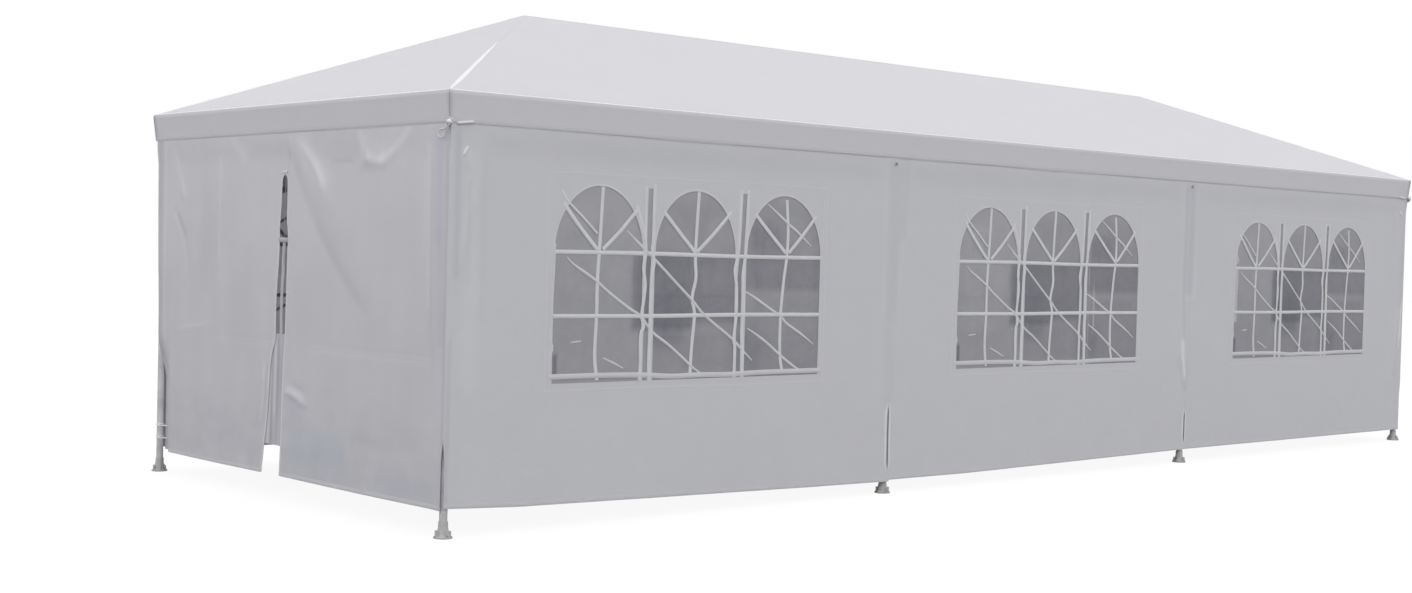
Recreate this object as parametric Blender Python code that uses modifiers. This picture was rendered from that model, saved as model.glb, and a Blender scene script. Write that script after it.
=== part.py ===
"""Marquee tent: a white hip-roofed party tent on a tube frame, with arched window walls.

Metres, +Z up. X runs along the tent, Y across it, and the side with -Y is the front.
The origin is on the ground, at the middle of the tent's outer plan.
"""
import math

import bmesh
import bpy
from mathutils import Quaternion, Vector

# Roof cloth, outer size
ROOF_LENGTH = 9.0
ROOF_WIDTH = 3.0
RIDGE_TOP = 2.65
EAVE_TOP = 2.04
VALANCE_DROP = 0.147
CLOTH = 0.002

# Frame
ROOF_OVERHANG = 0.05
BAYS = 3
LEG_RADIUS = 0.019
EAVE_RADIUS = 0.019
RAFTER_RADIUS = 0.016
FITTING_RADIUS = 0.0245
SOCKET_RADIUS = 0.022
SOCKET_LENGTH = 0.09
POLE_INSERT = 0.045

# Feet
FOOT_HEIGHT = 0.075
FLANGE_RADIUS = 0.044
FLANGE_THICKNESS = 0.006
FLARE_RADIUS = 0.027
FLARE_HEIGHT = 0.045
SLEEVE_WALL = 0.003

# Walls
SIDE_HEM = 0.09
END_HEM = 0.135
FILM = 0.001
FILM_LAP = 0.02

# Window lites, three in each side wall
LITES = 3
LITE_WIDTH = 0.55
MULLION = 0.078
SILL_HEIGHT = 0.72
SPRING_HEIGHT = 1.32
ARCH_RISE = 0.325

# Zipped door slit in the middle of each end wall
SLIT_TOP = 1.68
SLIT_TOP_WIDTH = 0.006
SLIT_WAIST = 0.90
SLIT_WAIST_WIDTH = 0.02
SLIT_FOOT_WIDTH = 0.20

# Clearances and fineness
GAP = 0.0003
SEAT = 0.0003
MERGE = 0.0001
SIDES = 20
ROLL = math.radians(2.3)
FOOT_SIDES = 24
ARCH_STEPS = 16

# Places worked out from the sizes above
HALF_WIDTH = ROOF_WIDTH / 2
HALF_LENGTH = ROOF_LENGTH / 2
RIDGE_HALF = HALF_LENGTH - HALF_WIDTH
PITCH = math.atan2(RIDGE_TOP - EAVE_TOP, HALF_WIDTH)
LEG_X = HALF_LENGTH - ROOF_OVERHANG
LEG_Y = HALF_WIDTH - ROOF_OVERHANG
LEG_STEP = 2 * LEG_X / BAYS
CLOTH_UNDER = EAVE_TOP + ROOF_OVERHANG * math.tan(PITCH) - CLOTH / math.cos(PITCH)
NODE_Z = CLOTH_UNDER - (FITTING_RADIUS + SEAT) / math.cos(PITCH)
RIDGE_Z = NODE_Z + LEG_Y * math.tan(PITCH)
WALL_INNER = FITTING_RADIUS + SEAT
SIDE_WALL_Y = LEG_Y + WALL_INNER + CLOTH / 2
END_WALL_X = LEG_X + WALL_INNER + CLOTH / 2
WALL_TOP = NODE_Z
WINDOW_WIDTH = LITES * LITE_WIDTH + (LITES - 1) * MULLION

SIDE_NAMES = {-1: "front", 1: "back"}
END_NAMES = {-1: "left", 1: "right"}
LEG_NAMES = ["left_corner", "left_mid", "right_mid", "right_corner"]
BAY_NAMES = ["left", "middle", "right"]


def clear_scene():
    for obj in list(bpy.data.objects):
        bpy.data.objects.remove(obj, do_unlink=True)


def make_collection(name):
    collection = bpy.data.collections.new(name)
    bpy.context.scene.collection.children.link(collection)
    return collection


def make_material(name, color, roughness, metallic=0.0, alpha=1.0):
    material = bpy.data.materials.new(name)
    material.use_nodes = True
    shader = material.node_tree.nodes["Principled BSDF"]
    shader.inputs["Base Color"].default_value = (*color, 1.0)
    shader.inputs["Roughness"].default_value = roughness
    shader.inputs["Metallic"].default_value = metallic
    shader.inputs["Alpha"].default_value = alpha
    return material


def add_object(name, data, collection, material=None):
    obj = bpy.data.objects.new(name, data)
    collection.objects.link(obj)
    if material:
        data.materials.append(material)
    if collection is CUTTERS:
        obj.hide_render = True
        obj.display_type = 'WIRE'
    return obj


def leg_x(index):
    return -LEG_X + index * LEG_STEP


def tube_mesh(name, length, radius):
    """A round bar along Z, centred on its own origin."""
    bm = bmesh.new()
    bmesh.ops.create_cone(bm, cap_ends=True, segments=SIDES, radius1=radius, radius2=radius, depth=length)
    mesh = bpy.data.meshes.new(name)
    bm.to_mesh(mesh)
    bm.free()
    mesh.shade_smooth()
    mesh.set_sharp_from_angle(angle=math.radians(40))
    return mesh


def add_tube(name, start, end, radius, collection, material, roll=0.0):
    start, end = Vector(start), Vector(end)
    run = end - start
    obj = add_object(name, tube_mesh(name, run.length, radius), collection, material)
    obj.location = (start + end) / 2
    obj.rotation_euler = (run.to_track_quat('Z', 'Y') @ Quaternion((0, 0, 1), roll)).to_euler()
    return obj


def add_ball(name, centre, collection, material):
    bm = bmesh.new()
    bmesh.ops.create_uvsphere(bm, u_segments=SIDES, v_segments=SIDES // 2, radius=FITTING_RADIUS)
    mesh = bpy.data.meshes.new(name)
    bm.to_mesh(mesh)
    bm.free()
    mesh.shade_smooth()
    obj = add_object(name, mesh, collection, material)
    obj.location = centre
    return obj


def join_to(obj, helper):
    """Weld a helper solid to a part."""
    joint = obj.modifiers.new(helper.name, 'BOOLEAN')
    joint.operation = 'UNION'
    joint.solver = 'EXACT'
    joint.object = helper


def add_socket(part, node, direction, reach=SOCKET_LENGTH):
    """A fitting's socket, from its node point outwards."""
    node = Vector(node)
    name = f"{part.name}_socket_{len(part.modifiers)}"
    tip = node + Vector(direction).normalized() * reach
    helper = add_tube(name, node, tip, SOCKET_RADIUS, CUTTERS, FITTING, ROLL * (1 + len(part.modifiers)))
    join_to(part, helper)


def add_elbow(part, node):
    join_to(part, add_ball(f"{part.name}_elbow_{len(part.modifiers)}", node, CUTTERS, FITTING))


def add_sleeve(part, node, half_length):
    """A straight sleeve round a pole that runs on past the fitting."""
    node = Vector(node)
    along = Vector((half_length, 0, 0))
    helper = add_tube(f"{part.name}_sleeve_{len(part.modifiers)}", node - along, node + along,
                      FITTING_RADIUS, CUTTERS, FITTING, ROLL)
    join_to(part, helper)


def shortened(start, end, cut_start, cut_end):
    """The stretch between two sockets, given how much each end gives up."""
    start, end = Vector(start), Vector(end)
    run = (end - start).normalized()
    return start + run * cut_start, end - run * cut_end


def foot_profile():
    """Radius and height of the foot's outline, from the floor of its socket round to the base's centre."""
    bore = LEG_RADIUS + GAP
    sleeve = bore + SLEEVE_WALL
    return [(0, FLANGE_THICKNESS), (bore, FLANGE_THICKNESS), (bore, FOOT_HEIGHT), (sleeve, FOOT_HEIGHT),
            (sleeve, FLARE_HEIGHT), (FLARE_RADIUS, FLANGE_THICKNESS * 1.5),
            (FLANGE_RADIUS, FLANGE_THICKNESS), (FLANGE_RADIUS, 0), (0, 0)]


def foot_mesh():
    mesh = bpy.data.meshes.new("foot_profile")
    bm = bmesh.new()
    points = [bm.verts.new((radius, 0, height)) for radius, height in foot_profile()]
    for first, second in zip(points, points[1:]):
        bm.edges.new((first, second))
    bm.to_mesh(mesh)
    bm.free()
    mesh.materials.append(FOOT)
    return mesh


def add_foot(name, x, y, mesh):
    obj = add_object(name, mesh, PARTS)
    turn = obj.modifiers.new("turned", 'SCREW')
    turn.steps = FOOT_SIDES
    turn.render_steps = FOOT_SIDES
    turn.use_merge_vertices = True
    turn.merge_threshold = MERGE
    turn.use_smooth_shade = True
    obj.location = (x, y, 0)
    return obj


def build_legs_and_feet():
    foot = foot_mesh()
    for side, side_name in SIDE_NAMES.items():
        for index, leg_name in enumerate(LEG_NAMES):
            x, y = leg_x(index), side * LEG_Y
            add_foot(f"foot_{side_name}_{leg_name}", x, y, foot)
            bottom = (x, y, FLANGE_THICKNESS + GAP)
            top = (x, y, NODE_Z - SOCKET_LENGTH - GAP)
            add_tube(f"leg_{side_name}_{leg_name}", bottom, top, LEG_RADIUS, PARTS, STEEL)


def hip_direction(end, side):
    """From a corner fitting up along the hip to the ridge's end."""
    return Vector((-end * LEG_Y, -side * LEG_Y, RIDGE_Z - NODE_Z))


def build_end_rails():
    """Each end's eave pole, with the two corner fittings it is welded to."""
    for end, end_name in END_NAMES.items():
        x = end * LEG_X
        start, stop = shortened((x, -LEG_Y, NODE_Z), (x, LEG_Y, NODE_Z), POLE_INSERT, POLE_INSERT)
        pole = add_tube(f"eave_rail_{end_name}", start, stop, EAVE_RADIUS, PARTS, STEEL)
        for side in SIDE_NAMES:
            node = (x, side * LEG_Y, NODE_Z)
            add_elbow(pole, node)
            add_socket(pole, node, (0, 0, -1))
            add_socket(pole, node, (-end, 0, 0))
            add_socket(pole, node, (0, -side, 0))
            add_socket(pole, node, hip_direction(end, side))


def build_side_rails():
    """The long eave poles of each side, with the fittings over the middle legs."""
    for side, side_name in SIDE_NAMES.items():
        y = side * LEG_Y
        start, end = shortened((-LEG_X, y, NODE_Z), (LEG_X, y, NODE_Z),
                               SOCKET_LENGTH + GAP, SOCKET_LENGTH + GAP)
        pole = add_tube(f"eave_rail_{side_name}", start, end, EAVE_RADIUS, PARTS, STEEL)
        for index in range(1, BAYS):
            node = (leg_x(index), y, NODE_Z)
            add_sleeve(pole, node, SOCKET_LENGTH)
            add_socket(pole, node, (0, 0, -1))
            add_socket(pole, node, (0, -side * LEG_Y, RIDGE_Z - NODE_Z))


def build_ridge():
    """The ridge poles and their four fittings."""
    start, stop = shortened((-RIDGE_HALF, 0, RIDGE_Z), (RIDGE_HALF, 0, RIDGE_Z), POLE_INSERT, POLE_INSERT)
    pole = add_tube("ridge_pole", start, stop, RAFTER_RADIUS, PARTS, STEEL)
    for end in END_NAMES:
        node = (end * RIDGE_HALF, 0, RIDGE_Z)
        add_elbow(pole, node)
        add_socket(pole, node, (-end, 0, 0))
        for side in SIDE_NAMES:
            add_socket(pole, node, -hip_direction(end, side))
    for index in range(1, BAYS):
        node = (leg_x(index), 0, RIDGE_Z)
        add_sleeve(pole, node, SOCKET_LENGTH)
        for side in SIDE_NAMES:
            add_socket(pole, node, (0, side * LEG_Y, NODE_Z - RIDGE_Z))


def build_rafters():
    """Four hip rafters from the corners and two pairs of rafters from the middle legs."""
    give = SOCKET_LENGTH + GAP
    for side, side_name in SIDE_NAMES.items():
        for end, end_name in END_NAMES.items():
            low = (end * LEG_X, side * LEG_Y, NODE_Z)
            high = (end * RIDGE_HALF, 0, RIDGE_Z)
            add_tube(f"hip_rafter_{side_name}_{end_name}", *shortened(low, high, give, give),
                     RAFTER_RADIUS, PARTS, STEEL)
        for index in range(1, BAYS):
            low = (leg_x(index), side * LEG_Y, NODE_Z)
            high = (leg_x(index), 0, RIDGE_Z)
            add_tube(f"rafter_{side_name}_{LEG_NAMES[index]}", *shortened(low, high, give, give),
                     RAFTER_RADIUS, PARTS, STEEL)


def roof_mesh():
    """The cover's outer surface: a box of valances whose top face is drawn up to the ridge."""
    bm = bmesh.new()
    bmesh.ops.create_cube(bm, size=1)
    bmesh.ops.scale(bm, vec=(ROOF_LENGTH, ROOF_WIDTH, VALANCE_DROP), verts=bm.verts)
    bmesh.ops.translate(bm, vec=(0, 0, EAVE_TOP - VALANCE_DROP / 2), verts=bm.verts)
    bm.faces.ensure_lookup_table()
    top = max(bm.faces, key=lambda face: face.calc_center_median().z)
    bottom = min(bm.faces, key=lambda face: face.calc_center_median().z)
    bmesh.ops.delete(bm, geom=[bottom], context='FACES_ONLY')
    raised = bmesh.ops.extrude_face_region(bm, geom=[top])["geom"]
    bmesh.ops.delete(bm, geom=[top], context='FACES_ONLY')
    for vert in raised:
        if isinstance(vert, bmesh.types.BMVert):
            vert.co = (math.copysign(RIDGE_HALF, vert.co.x), 0, RIDGE_TOP)
    bmesh.ops.remove_doubles(bm, verts=bm.verts, dist=MERGE)
    bmesh.ops.recalc_face_normals(bm, faces=bm.faces)
    mesh = bpy.data.meshes.new("roof_cover")
    bm.to_mesh(mesh)
    bm.free()
    return mesh


def prism_mesh(name, outline, bottom, top):
    """A closed prism over a flat outline in X and Y."""
    bm = bmesh.new()
    face = bm.faces.new([bm.verts.new((x, y, bottom)) for x, y in outline])
    raised = bmesh.ops.extrude_face_region(bm, geom=[face])["geom"]
    verts = [item for item in raised if isinstance(item, bmesh.types.BMVert)]
    bmesh.ops.translate(bm, vec=(0, 0, top - bottom), verts=verts)
    bmesh.ops.recalc_face_normals(bm, faces=bm.faces)
    mesh = bpy.data.meshes.new(name)
    bm.to_mesh(mesh)
    bm.free()
    return mesh


def side_sector(side):
    """Plan of one long slope, a seam's width clear of the hips and the ridge."""
    seam = GAP / 2
    reach = HALF_WIDTH * 1.2
    near_x = RIDGE_HALF + seam - seam * math.sqrt(2)
    far_x = RIDGE_HALF + reach - seam * math.sqrt(2)
    return [(-near_x, side * seam), (near_x, side * seam), (far_x, side * reach), (-far_x, side * reach)]


def end_sector(end):
    """Plan of one hipped end, a seam's width clear of the hips."""
    apex = RIDGE_HALF + GAP / 2 * math.sqrt(2)
    reach = HALF_WIDTH * 1.2
    return [(end * apex, 0), (end * (apex + reach), reach), (end * (apex + reach), -reach)]


def add_roof_panel(name, mesh, sector):
    panel = add_object(name, mesh.copy(), PARTS, ROOF)
    shell = panel.modifiers.new("cloth", 'SOLIDIFY')
    shell.solidify_mode = 'NON_MANIFOLD'
    shell.nonmanifold_thickness_mode = 'CONSTRAINTS'
    shell.nonmanifold_merge_threshold = MERGE
    shell.thickness = CLOTH
    shell.offset = -1
    cutter = add_object(f"{name}_sector", prism_mesh(name, sector, 0, RIDGE_TOP * 1.2), CUTTERS)
    cut = panel.modifiers.new("sector", 'BOOLEAN')
    cut.operation = 'INTERSECT'
    cut.solver = 'EXACT'
    cut.object = cutter


def build_roof():
    cover = roof_mesh()
    for side, side_name in SIDE_NAMES.items():
        add_roof_panel(f"roof_{side_name}", cover, side_sector(side))
    for end, end_name in END_NAMES.items():
        add_roof_panel(f"roof_{end_name}", cover, end_sector(end))


def add_outline(curve, points):
    spline = curve.splines.new('POLY')
    spline.points.add(len(points) - 1)
    for point, (x, y) in zip(spline.points, points):
        point.co = (x, y, 0, 1)
    spline.use_cyclic_u = True


def add_cloth_slab(name, outlines, location, turn, material):
    """A flat cloth panel stood upright: the first outline is its edge, the others are its openings."""
    curve = bpy.data.curves.new(name, 'CURVE')
    curve.dimensions = '2D'
    curve.fill_mode = 'BOTH'
    curve.extrude = CLOTH / 2
    for outline in outlines:
        add_outline(curve, outline)
    obj = add_object(name, curve, PARTS, material)
    obj.location = location
    obj.rotation_euler = (math.pi / 2, 0, turn)
    return obj


def lite_centres():
    pitch = LITE_WIDTH + MULLION
    return [(index - (LITES - 1) / 2) * pitch for index in range(LITES)]


def lite_outline(centre):
    """One window lite: straight sides up to the spring line, then half an ellipse."""
    half = LITE_WIDTH / 2
    points = [(centre - half, SILL_HEIGHT), (centre + half, SILL_HEIGHT)]
    for step in range(ARCH_STEPS + 1):
        angle = math.pi * step / ARCH_STEPS
        points.append((centre + half * math.cos(angle), SPRING_HEIGHT + ARCH_RISE * math.sin(angle)))
    return points


def build_side_walls():
    """Three window walls on each long side, meeting over the middle legs."""
    corner = END_WALL_X + CLOTH / 2
    film_height = SPRING_HEIGHT + ARCH_RISE - SILL_HEIGHT + 2 * FILM_LAP
    for side, side_name in SIDE_NAMES.items():
        for bay, bay_name in enumerate(BAY_NAMES):
            middle = (leg_x(bay) + leg_x(bay + 1)) / 2
            left = -corner if bay == 0 else leg_x(bay) + GAP / 2
            right = corner if bay == BAYS - 1 else leg_x(bay + 1) - GAP / 2
            edge = [(left - middle, SIDE_HEM), (right - middle, SIDE_HEM),
                    (right - middle, WALL_TOP), (left - middle, WALL_TOP)]
            lites = [lite_outline(centre) for centre in lite_centres()]
            add_cloth_slab(f"{side_name}_wall_{bay_name}", [edge] + lites,
                           (middle, side * SIDE_WALL_Y, 0), 0, WALL)
            film_y = side * (SIDE_WALL_Y - CLOTH / 2 - GAP - FILM / 2)
            film_z = SILL_HEIGHT - FILM_LAP + film_height / 2
            add_film(f"{side_name}_window_{bay_name}", (middle, film_y, film_z), film_height)


def add_film(name, centre, height):
    bm = bmesh.new()
    bmesh.ops.create_cube(bm, size=1)
    bmesh.ops.scale(bm, vec=(WINDOW_WIDTH + 2 * FILM_LAP, FILM, height), verts=bm.verts)
    mesh = bpy.data.meshes.new(name)
    bm.to_mesh(mesh)
    bm.free()
    obj = add_object(name, mesh, PARTS, CLEAR)
    obj.location = centre


def end_wall_outline():
    """An end wall seen square on, with the door slit open from its hem up to the zip's top."""
    half = SIDE_WALL_Y - CLOTH / 2 - GAP
    right = [(SLIT_FOOT_WIDTH / 2, END_HEM), (half, END_HEM), (half, WALL_TOP)]
    left = [(-half, WALL_TOP), (-half, END_HEM), (-SLIT_FOOT_WIDTH / 2, END_HEM)]
    slit = [(-SLIT_WAIST_WIDTH / 2, SLIT_WAIST), (-SLIT_TOP_WIDTH / 2, SLIT_TOP),
            (SLIT_TOP_WIDTH / 2, SLIT_TOP), (SLIT_WAIST_WIDTH / 2, SLIT_WAIST)]
    return right + left + slit


def build_end_walls():
    for end, end_name in END_NAMES.items():
        add_cloth_slab(f"end_wall_{end_name}", [end_wall_outline()],
                       (end * END_WALL_X, 0, 0), math.pi / 2, WALL)


clear_scene()
PARTS = make_collection("marquee_tent")
CUTTERS = make_collection("helpers")
STEEL = make_material("white_coated_steel", (0.62, 0.62, 0.64), 0.35, 0.2)
FITTING = make_material("white_fitting", (0.58, 0.58, 0.60), 0.4, 0.2)
FOOT = make_material("foot_plastic", (0.55, 0.56, 0.57), 0.45)
ROOF = make_material("roof_cloth", (0.70, 0.70, 0.72), 0.6)
WALL = make_material("wall_cloth", (0.47, 0.47, 0.49), 0.65)
CLEAR = make_material("clear_film", (0.27, 0.28, 0.30), 0.2, 0.0, 0.7)
build_legs_and_feet()
build_end_rails()
build_side_rails()
build_ridge()
build_rafters()
build_roof()
build_side_walls()
build_end_walls()
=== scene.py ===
import math

import bmesh
import bpy
from bpy.props import FloatProperty, FloatVectorProperty, PointerProperty
from mathutils import Matrix, Vector, noise

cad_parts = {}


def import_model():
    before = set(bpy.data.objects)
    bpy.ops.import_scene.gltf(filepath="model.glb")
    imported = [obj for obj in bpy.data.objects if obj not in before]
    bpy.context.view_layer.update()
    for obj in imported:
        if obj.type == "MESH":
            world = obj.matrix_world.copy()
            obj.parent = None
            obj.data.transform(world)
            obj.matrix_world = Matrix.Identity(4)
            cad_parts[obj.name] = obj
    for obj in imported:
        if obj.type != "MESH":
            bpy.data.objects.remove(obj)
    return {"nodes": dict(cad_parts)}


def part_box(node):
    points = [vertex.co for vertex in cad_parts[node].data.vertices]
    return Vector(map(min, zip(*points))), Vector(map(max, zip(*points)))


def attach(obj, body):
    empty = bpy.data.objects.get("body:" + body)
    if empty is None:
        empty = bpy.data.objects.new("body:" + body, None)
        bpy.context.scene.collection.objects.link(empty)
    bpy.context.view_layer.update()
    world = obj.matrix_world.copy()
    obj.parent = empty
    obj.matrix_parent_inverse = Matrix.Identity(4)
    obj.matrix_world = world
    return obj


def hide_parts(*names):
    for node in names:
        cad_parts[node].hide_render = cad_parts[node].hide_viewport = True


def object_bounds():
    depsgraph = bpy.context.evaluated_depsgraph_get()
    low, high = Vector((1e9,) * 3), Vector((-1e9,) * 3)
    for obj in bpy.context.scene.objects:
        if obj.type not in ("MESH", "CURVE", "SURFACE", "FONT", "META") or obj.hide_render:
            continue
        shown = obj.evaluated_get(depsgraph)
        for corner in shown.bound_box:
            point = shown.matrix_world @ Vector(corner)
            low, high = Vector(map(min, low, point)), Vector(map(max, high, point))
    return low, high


bl_info = {
    "name": "Marquee tent",
    "version": (1, 0, 0),
    "blender": (4, 5, 0),
    "location": "View3D > Sidebar > Marquee",
    "description": "Dresses a steel-framed marquee with its cloth, windows, doors, ties and feet",
    "category": "Object",
}

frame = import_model()
CAD_BOX = [list(corner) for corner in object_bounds()]
NODES = frame["nodes"]

# Sizes of the tent, in metres, taken from the frame where a node holds them.
HALF_LENGTH = CAD_BOX[1][0]
HALF_WIDTH = CAD_BOX[1][1]
RIDGE_TOP = CAD_BOX[1][2]
EAVE_TOP = 2.04
EAVE_SLOPE = (RIDGE_TOP - EAVE_TOP) / HALF_WIDTH
RIDGE_HALF = HALF_LENGTH - HALF_WIDTH
VALANCE_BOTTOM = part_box("roof_front")[0][2]
VALANCE_DROP = EAVE_TOP - VALANCE_BOTTOM
WALL_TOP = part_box("front_wall_left")[1][2]
SIDE_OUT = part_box("back_wall_left")[1][1]
END_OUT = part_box("end_wall_right")[1][0]
WALL_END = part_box("front_wall_right")[1][0]
END_WALL_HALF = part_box("end_wall_right")[1][1]
LEG_X = 4.45
LEG_Y = 1.45
BAY = 2 * LEG_X / 3

# Thickness of cloth and tape.
WALL_CLOTH = 0.0012
ROOF_CLOTH = 0.0015
TAPE = 0.0005
# How far wall cloth stands out at a corner leg and under the valance, and the room that the valance takes.
CORNER_STAND = 0.003
VALANCE_REST = 0.0075
VALANCE_ROOM = 0.0016
END_LEAN = HALF_LENGTH - END_OUT - VALANCE_REST - VALANCE_ROOM
SIDE_LEAN = HALF_WIDTH - SIDE_OUT - VALANCE_REST - VALANCE_ROOM

# Window sizes: a window is three arched lights over one patch of clear film.
LITE_CENTRES = (-0.628, 0.0, 0.628)
LITE_HALF = 0.275
SILL = 0.69
SPRING = 1.32
ARCH_RISE = 0.325
ARCH_TOP = SPRING + ARCH_RISE
SLOT_CENTRES = tuple((a + b) / 2 for a, b in zip(LITE_CENTRES, LITE_CENTRES[1:]))
SLOT_HALF = 0.015
FILM_GAP = 0.0013
# How much darker the film is, bay by bay as seen from outside.
BAY_DEPTH = (0.0, 0.06, 0.12)

MERGE = 0.00002
CURVE_PARTS = 8
CLOTH_MAP = "ClothMap"
OUTWARD = {"front": (0.0, -1.0), "back": (0.0, 1.0), "left": (-1.0, 0.0), "right": (1.0, 0.0)}
LONG_SIDES = ("front", "back")
LEG_NAMES = ("left_corner", "left_mid", "right_mid", "right_corner")
BAY_NAMES = ("left", "middle", "right")

# Lines of one window seen from outside, as (along, height) from its middle.
CROSS_BARS = (
    ((-0.903, 1.32), (-0.3, 1.322), (0.3, 1.318), (0.903, 1.32)),
    ((-0.903, 1.013), (-0.3, 1.011), (0.3, 1.015), (0.903, 1.013)),
)
UPRIGHT_BARS = (
    ((-0.614, 1.641), (-0.625, 1.413), (-0.637, 1.191), (-0.637, 1.014), (-0.643, 0.823), (-0.627, 0.70)),
    ((0.013, 1.645), (-0.004, 1.328), (0.003, 1.205), (-0.02, 1.102), (-0.001, 1.02), (-0.015, 0.847),
     (-0.022, 0.70)),
    ((0.64, 1.625), (0.654, 1.477), (0.652, 1.341), (0.633, 1.205), (0.614, 1.011), (0.616, 0.809),
     (0.638, 0.70)),
)
FAN_BARS = (
    ((-0.858, 1.556), (-0.75, 1.44), (-0.642, 1.334)),
    ((-0.388, 1.542), (-0.50, 1.43), (-0.609, 1.336)),
    ((-0.225, 1.536), (-0.11, 1.428), (-0.009, 1.335)),
    ((0.236, 1.542), (0.12, 1.432), (0.006, 1.335)),
    ((0.410, 1.543), (0.53, 1.436), (0.641, 1.341)),
    ((0.866, 1.544), (0.76, 1.435), (0.663, 1.342)),
)
THIN_BARS = (
    ((-0.868, 1.615), (-0.829, 1.565), (-0.73, 1.485), (-0.644, 1.412)),
    ((-0.338, 1.66), (-0.337, 1.50), (-0.338, 1.38)),
)
FILM_CREASES = (
    ((-0.825, 1.296), (-0.781, 1.259), (-0.646, 1.184), (-0.564, 1.127), (-0.434, 1.049), (-0.358, 1.01),
     (-0.278, 0.929), (-0.176, 0.868), (-0.077, 0.799), (0.003, 0.743), (0.074, 0.708)),
    ((-0.457, 1.433), (-0.387, 1.376), (-0.292, 1.306), (-0.225, 1.254), (-0.119, 1.169), (-0.01, 1.082),
     (0.05, 1.027), (0.131, 0.972), (0.266, 0.889), (0.328, 0.839), (0.413, 0.775)),
    ((0.334, 1.142), (0.398, 1.115), (0.505, 1.06), (0.614, 1.004), (0.658, 0.968), (0.769, 0.91),
     (0.871, 0.852)),
    ((0.373, 0.945), (0.502, 0.874), (0.633, 0.788), (0.722, 0.736), (0.812, 0.70)),
    ((0.498, 1.60), (0.649, 1.501), (0.732, 1.451), (0.832, 1.383)),
    ((-0.793, 0.886), (-0.729, 0.892)),
    ((-0.592, 0.809), (-0.461, 0.755)),
)
DIVIDER_STRIPS = (
    ((-0.401, 1.56), (-0.356, 1.45), (-0.339, 1.384), (-0.337, 1.318), (-0.347, 1.251), (-0.335, 1.164),
     (-0.348, 1.05), (-0.353, 1.01), (-0.337, 0.963), (-0.354, 0.923), (-0.356, 0.848), (-0.353, 0.781),
     (-0.358, 0.69)),
    ((-0.283, 1.667), (-0.284, 1.6), (-0.286, 1.4), (-0.294, 1.346), (-0.28, 1.279), (-0.293, 1.205),
     (-0.296, 1.098), (-0.294, 0.956), (-0.287, 0.916), (-0.298, 0.848), (-0.294, 0.69)),
    ((0.310, 1.664), (0.301, 1.421), (0.292, 1.323), (0.272, 1.246), (0.286, 1.162), (0.289, 1.022),
     (0.276, 0.889), (0.285, 0.846), (0.283, 0.69)),
    ((0.360, 1.667), (0.353, 1.423), (0.345, 1.325), (0.33, 1.226), (0.334, 1.156), (0.342, 1.058),
     (0.341, 0.988), (0.331, 0.924), (0.342, 0.846), (0.341, 0.69)),
)
SILL_TAPE = (
    (-0.93, 0.723), (-0.6, 0.723), (-0.34, 0.718), (-0.15, 0.707), (0.05, 0.709), (0.25, 0.706), (0.5, 0.711),
    (0.93, 0.711),
)
PATCH_LINE = (
    (-0.945, 0.655), (-0.947, 1.0), (-0.944, 1.4), (-0.945, 1.70), (-0.5, 1.703), (0.0, 1.699), (0.5, 1.703),
    (0.945, 1.70), (0.947, 1.3), (0.944, 0.9), (0.945, 0.655), (0.4, 0.652), (-0.3, 0.657), (-0.945, 0.655),
)
LEFT_FRAME = (
    (-0.90, 1.36), (-0.905, 1.2), (-0.914, 0.979), (-0.918, 0.915), (-0.9, 0.857), (-0.917, 0.83),
    (-0.924, 0.70),
)
RIGHT_FRAME = ((0.918, 0.70), (0.918, 1.0), (0.92, 1.32), (0.922, 1.64))
# Painted shade patches of the film, mostly the dim inside seen through it: middle along, middle height, half
# width, half height, softness and how much darker.
PAINTED_FILM_PATCHES = (
    (-0.215, 1.13, 0.195, 0.19, 0.025, 0.75), (0.155, 1.145, 0.175, 0.175, 0.03, 0.58),
    (0.62, 1.23, 0.29, 0.09, 0.025, 0.55), (-0.19, 0.90, 0.12, 0.05, 0.05, 0.35),
    (0.0, 1.45, 0.30, 0.16, 0.06, 0.20), (0.50, 1.41, 0.14, 0.09, 0.06, 0.45),
    (0.66, 1.46, 0.28, 0.16, 0.06, 0.22), (0.10, 0.84, 0.40, 0.13, 0.07, 0.22),
    (0.62, 0.90, 0.34, 0.22, 0.06, 0.26), (-0.60, 1.55, 0.30, 0.12, 0.08, -0.12),
    (-0.888, 0.78, 0.012, 0.05, 0.012, 0.9),
)

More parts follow.
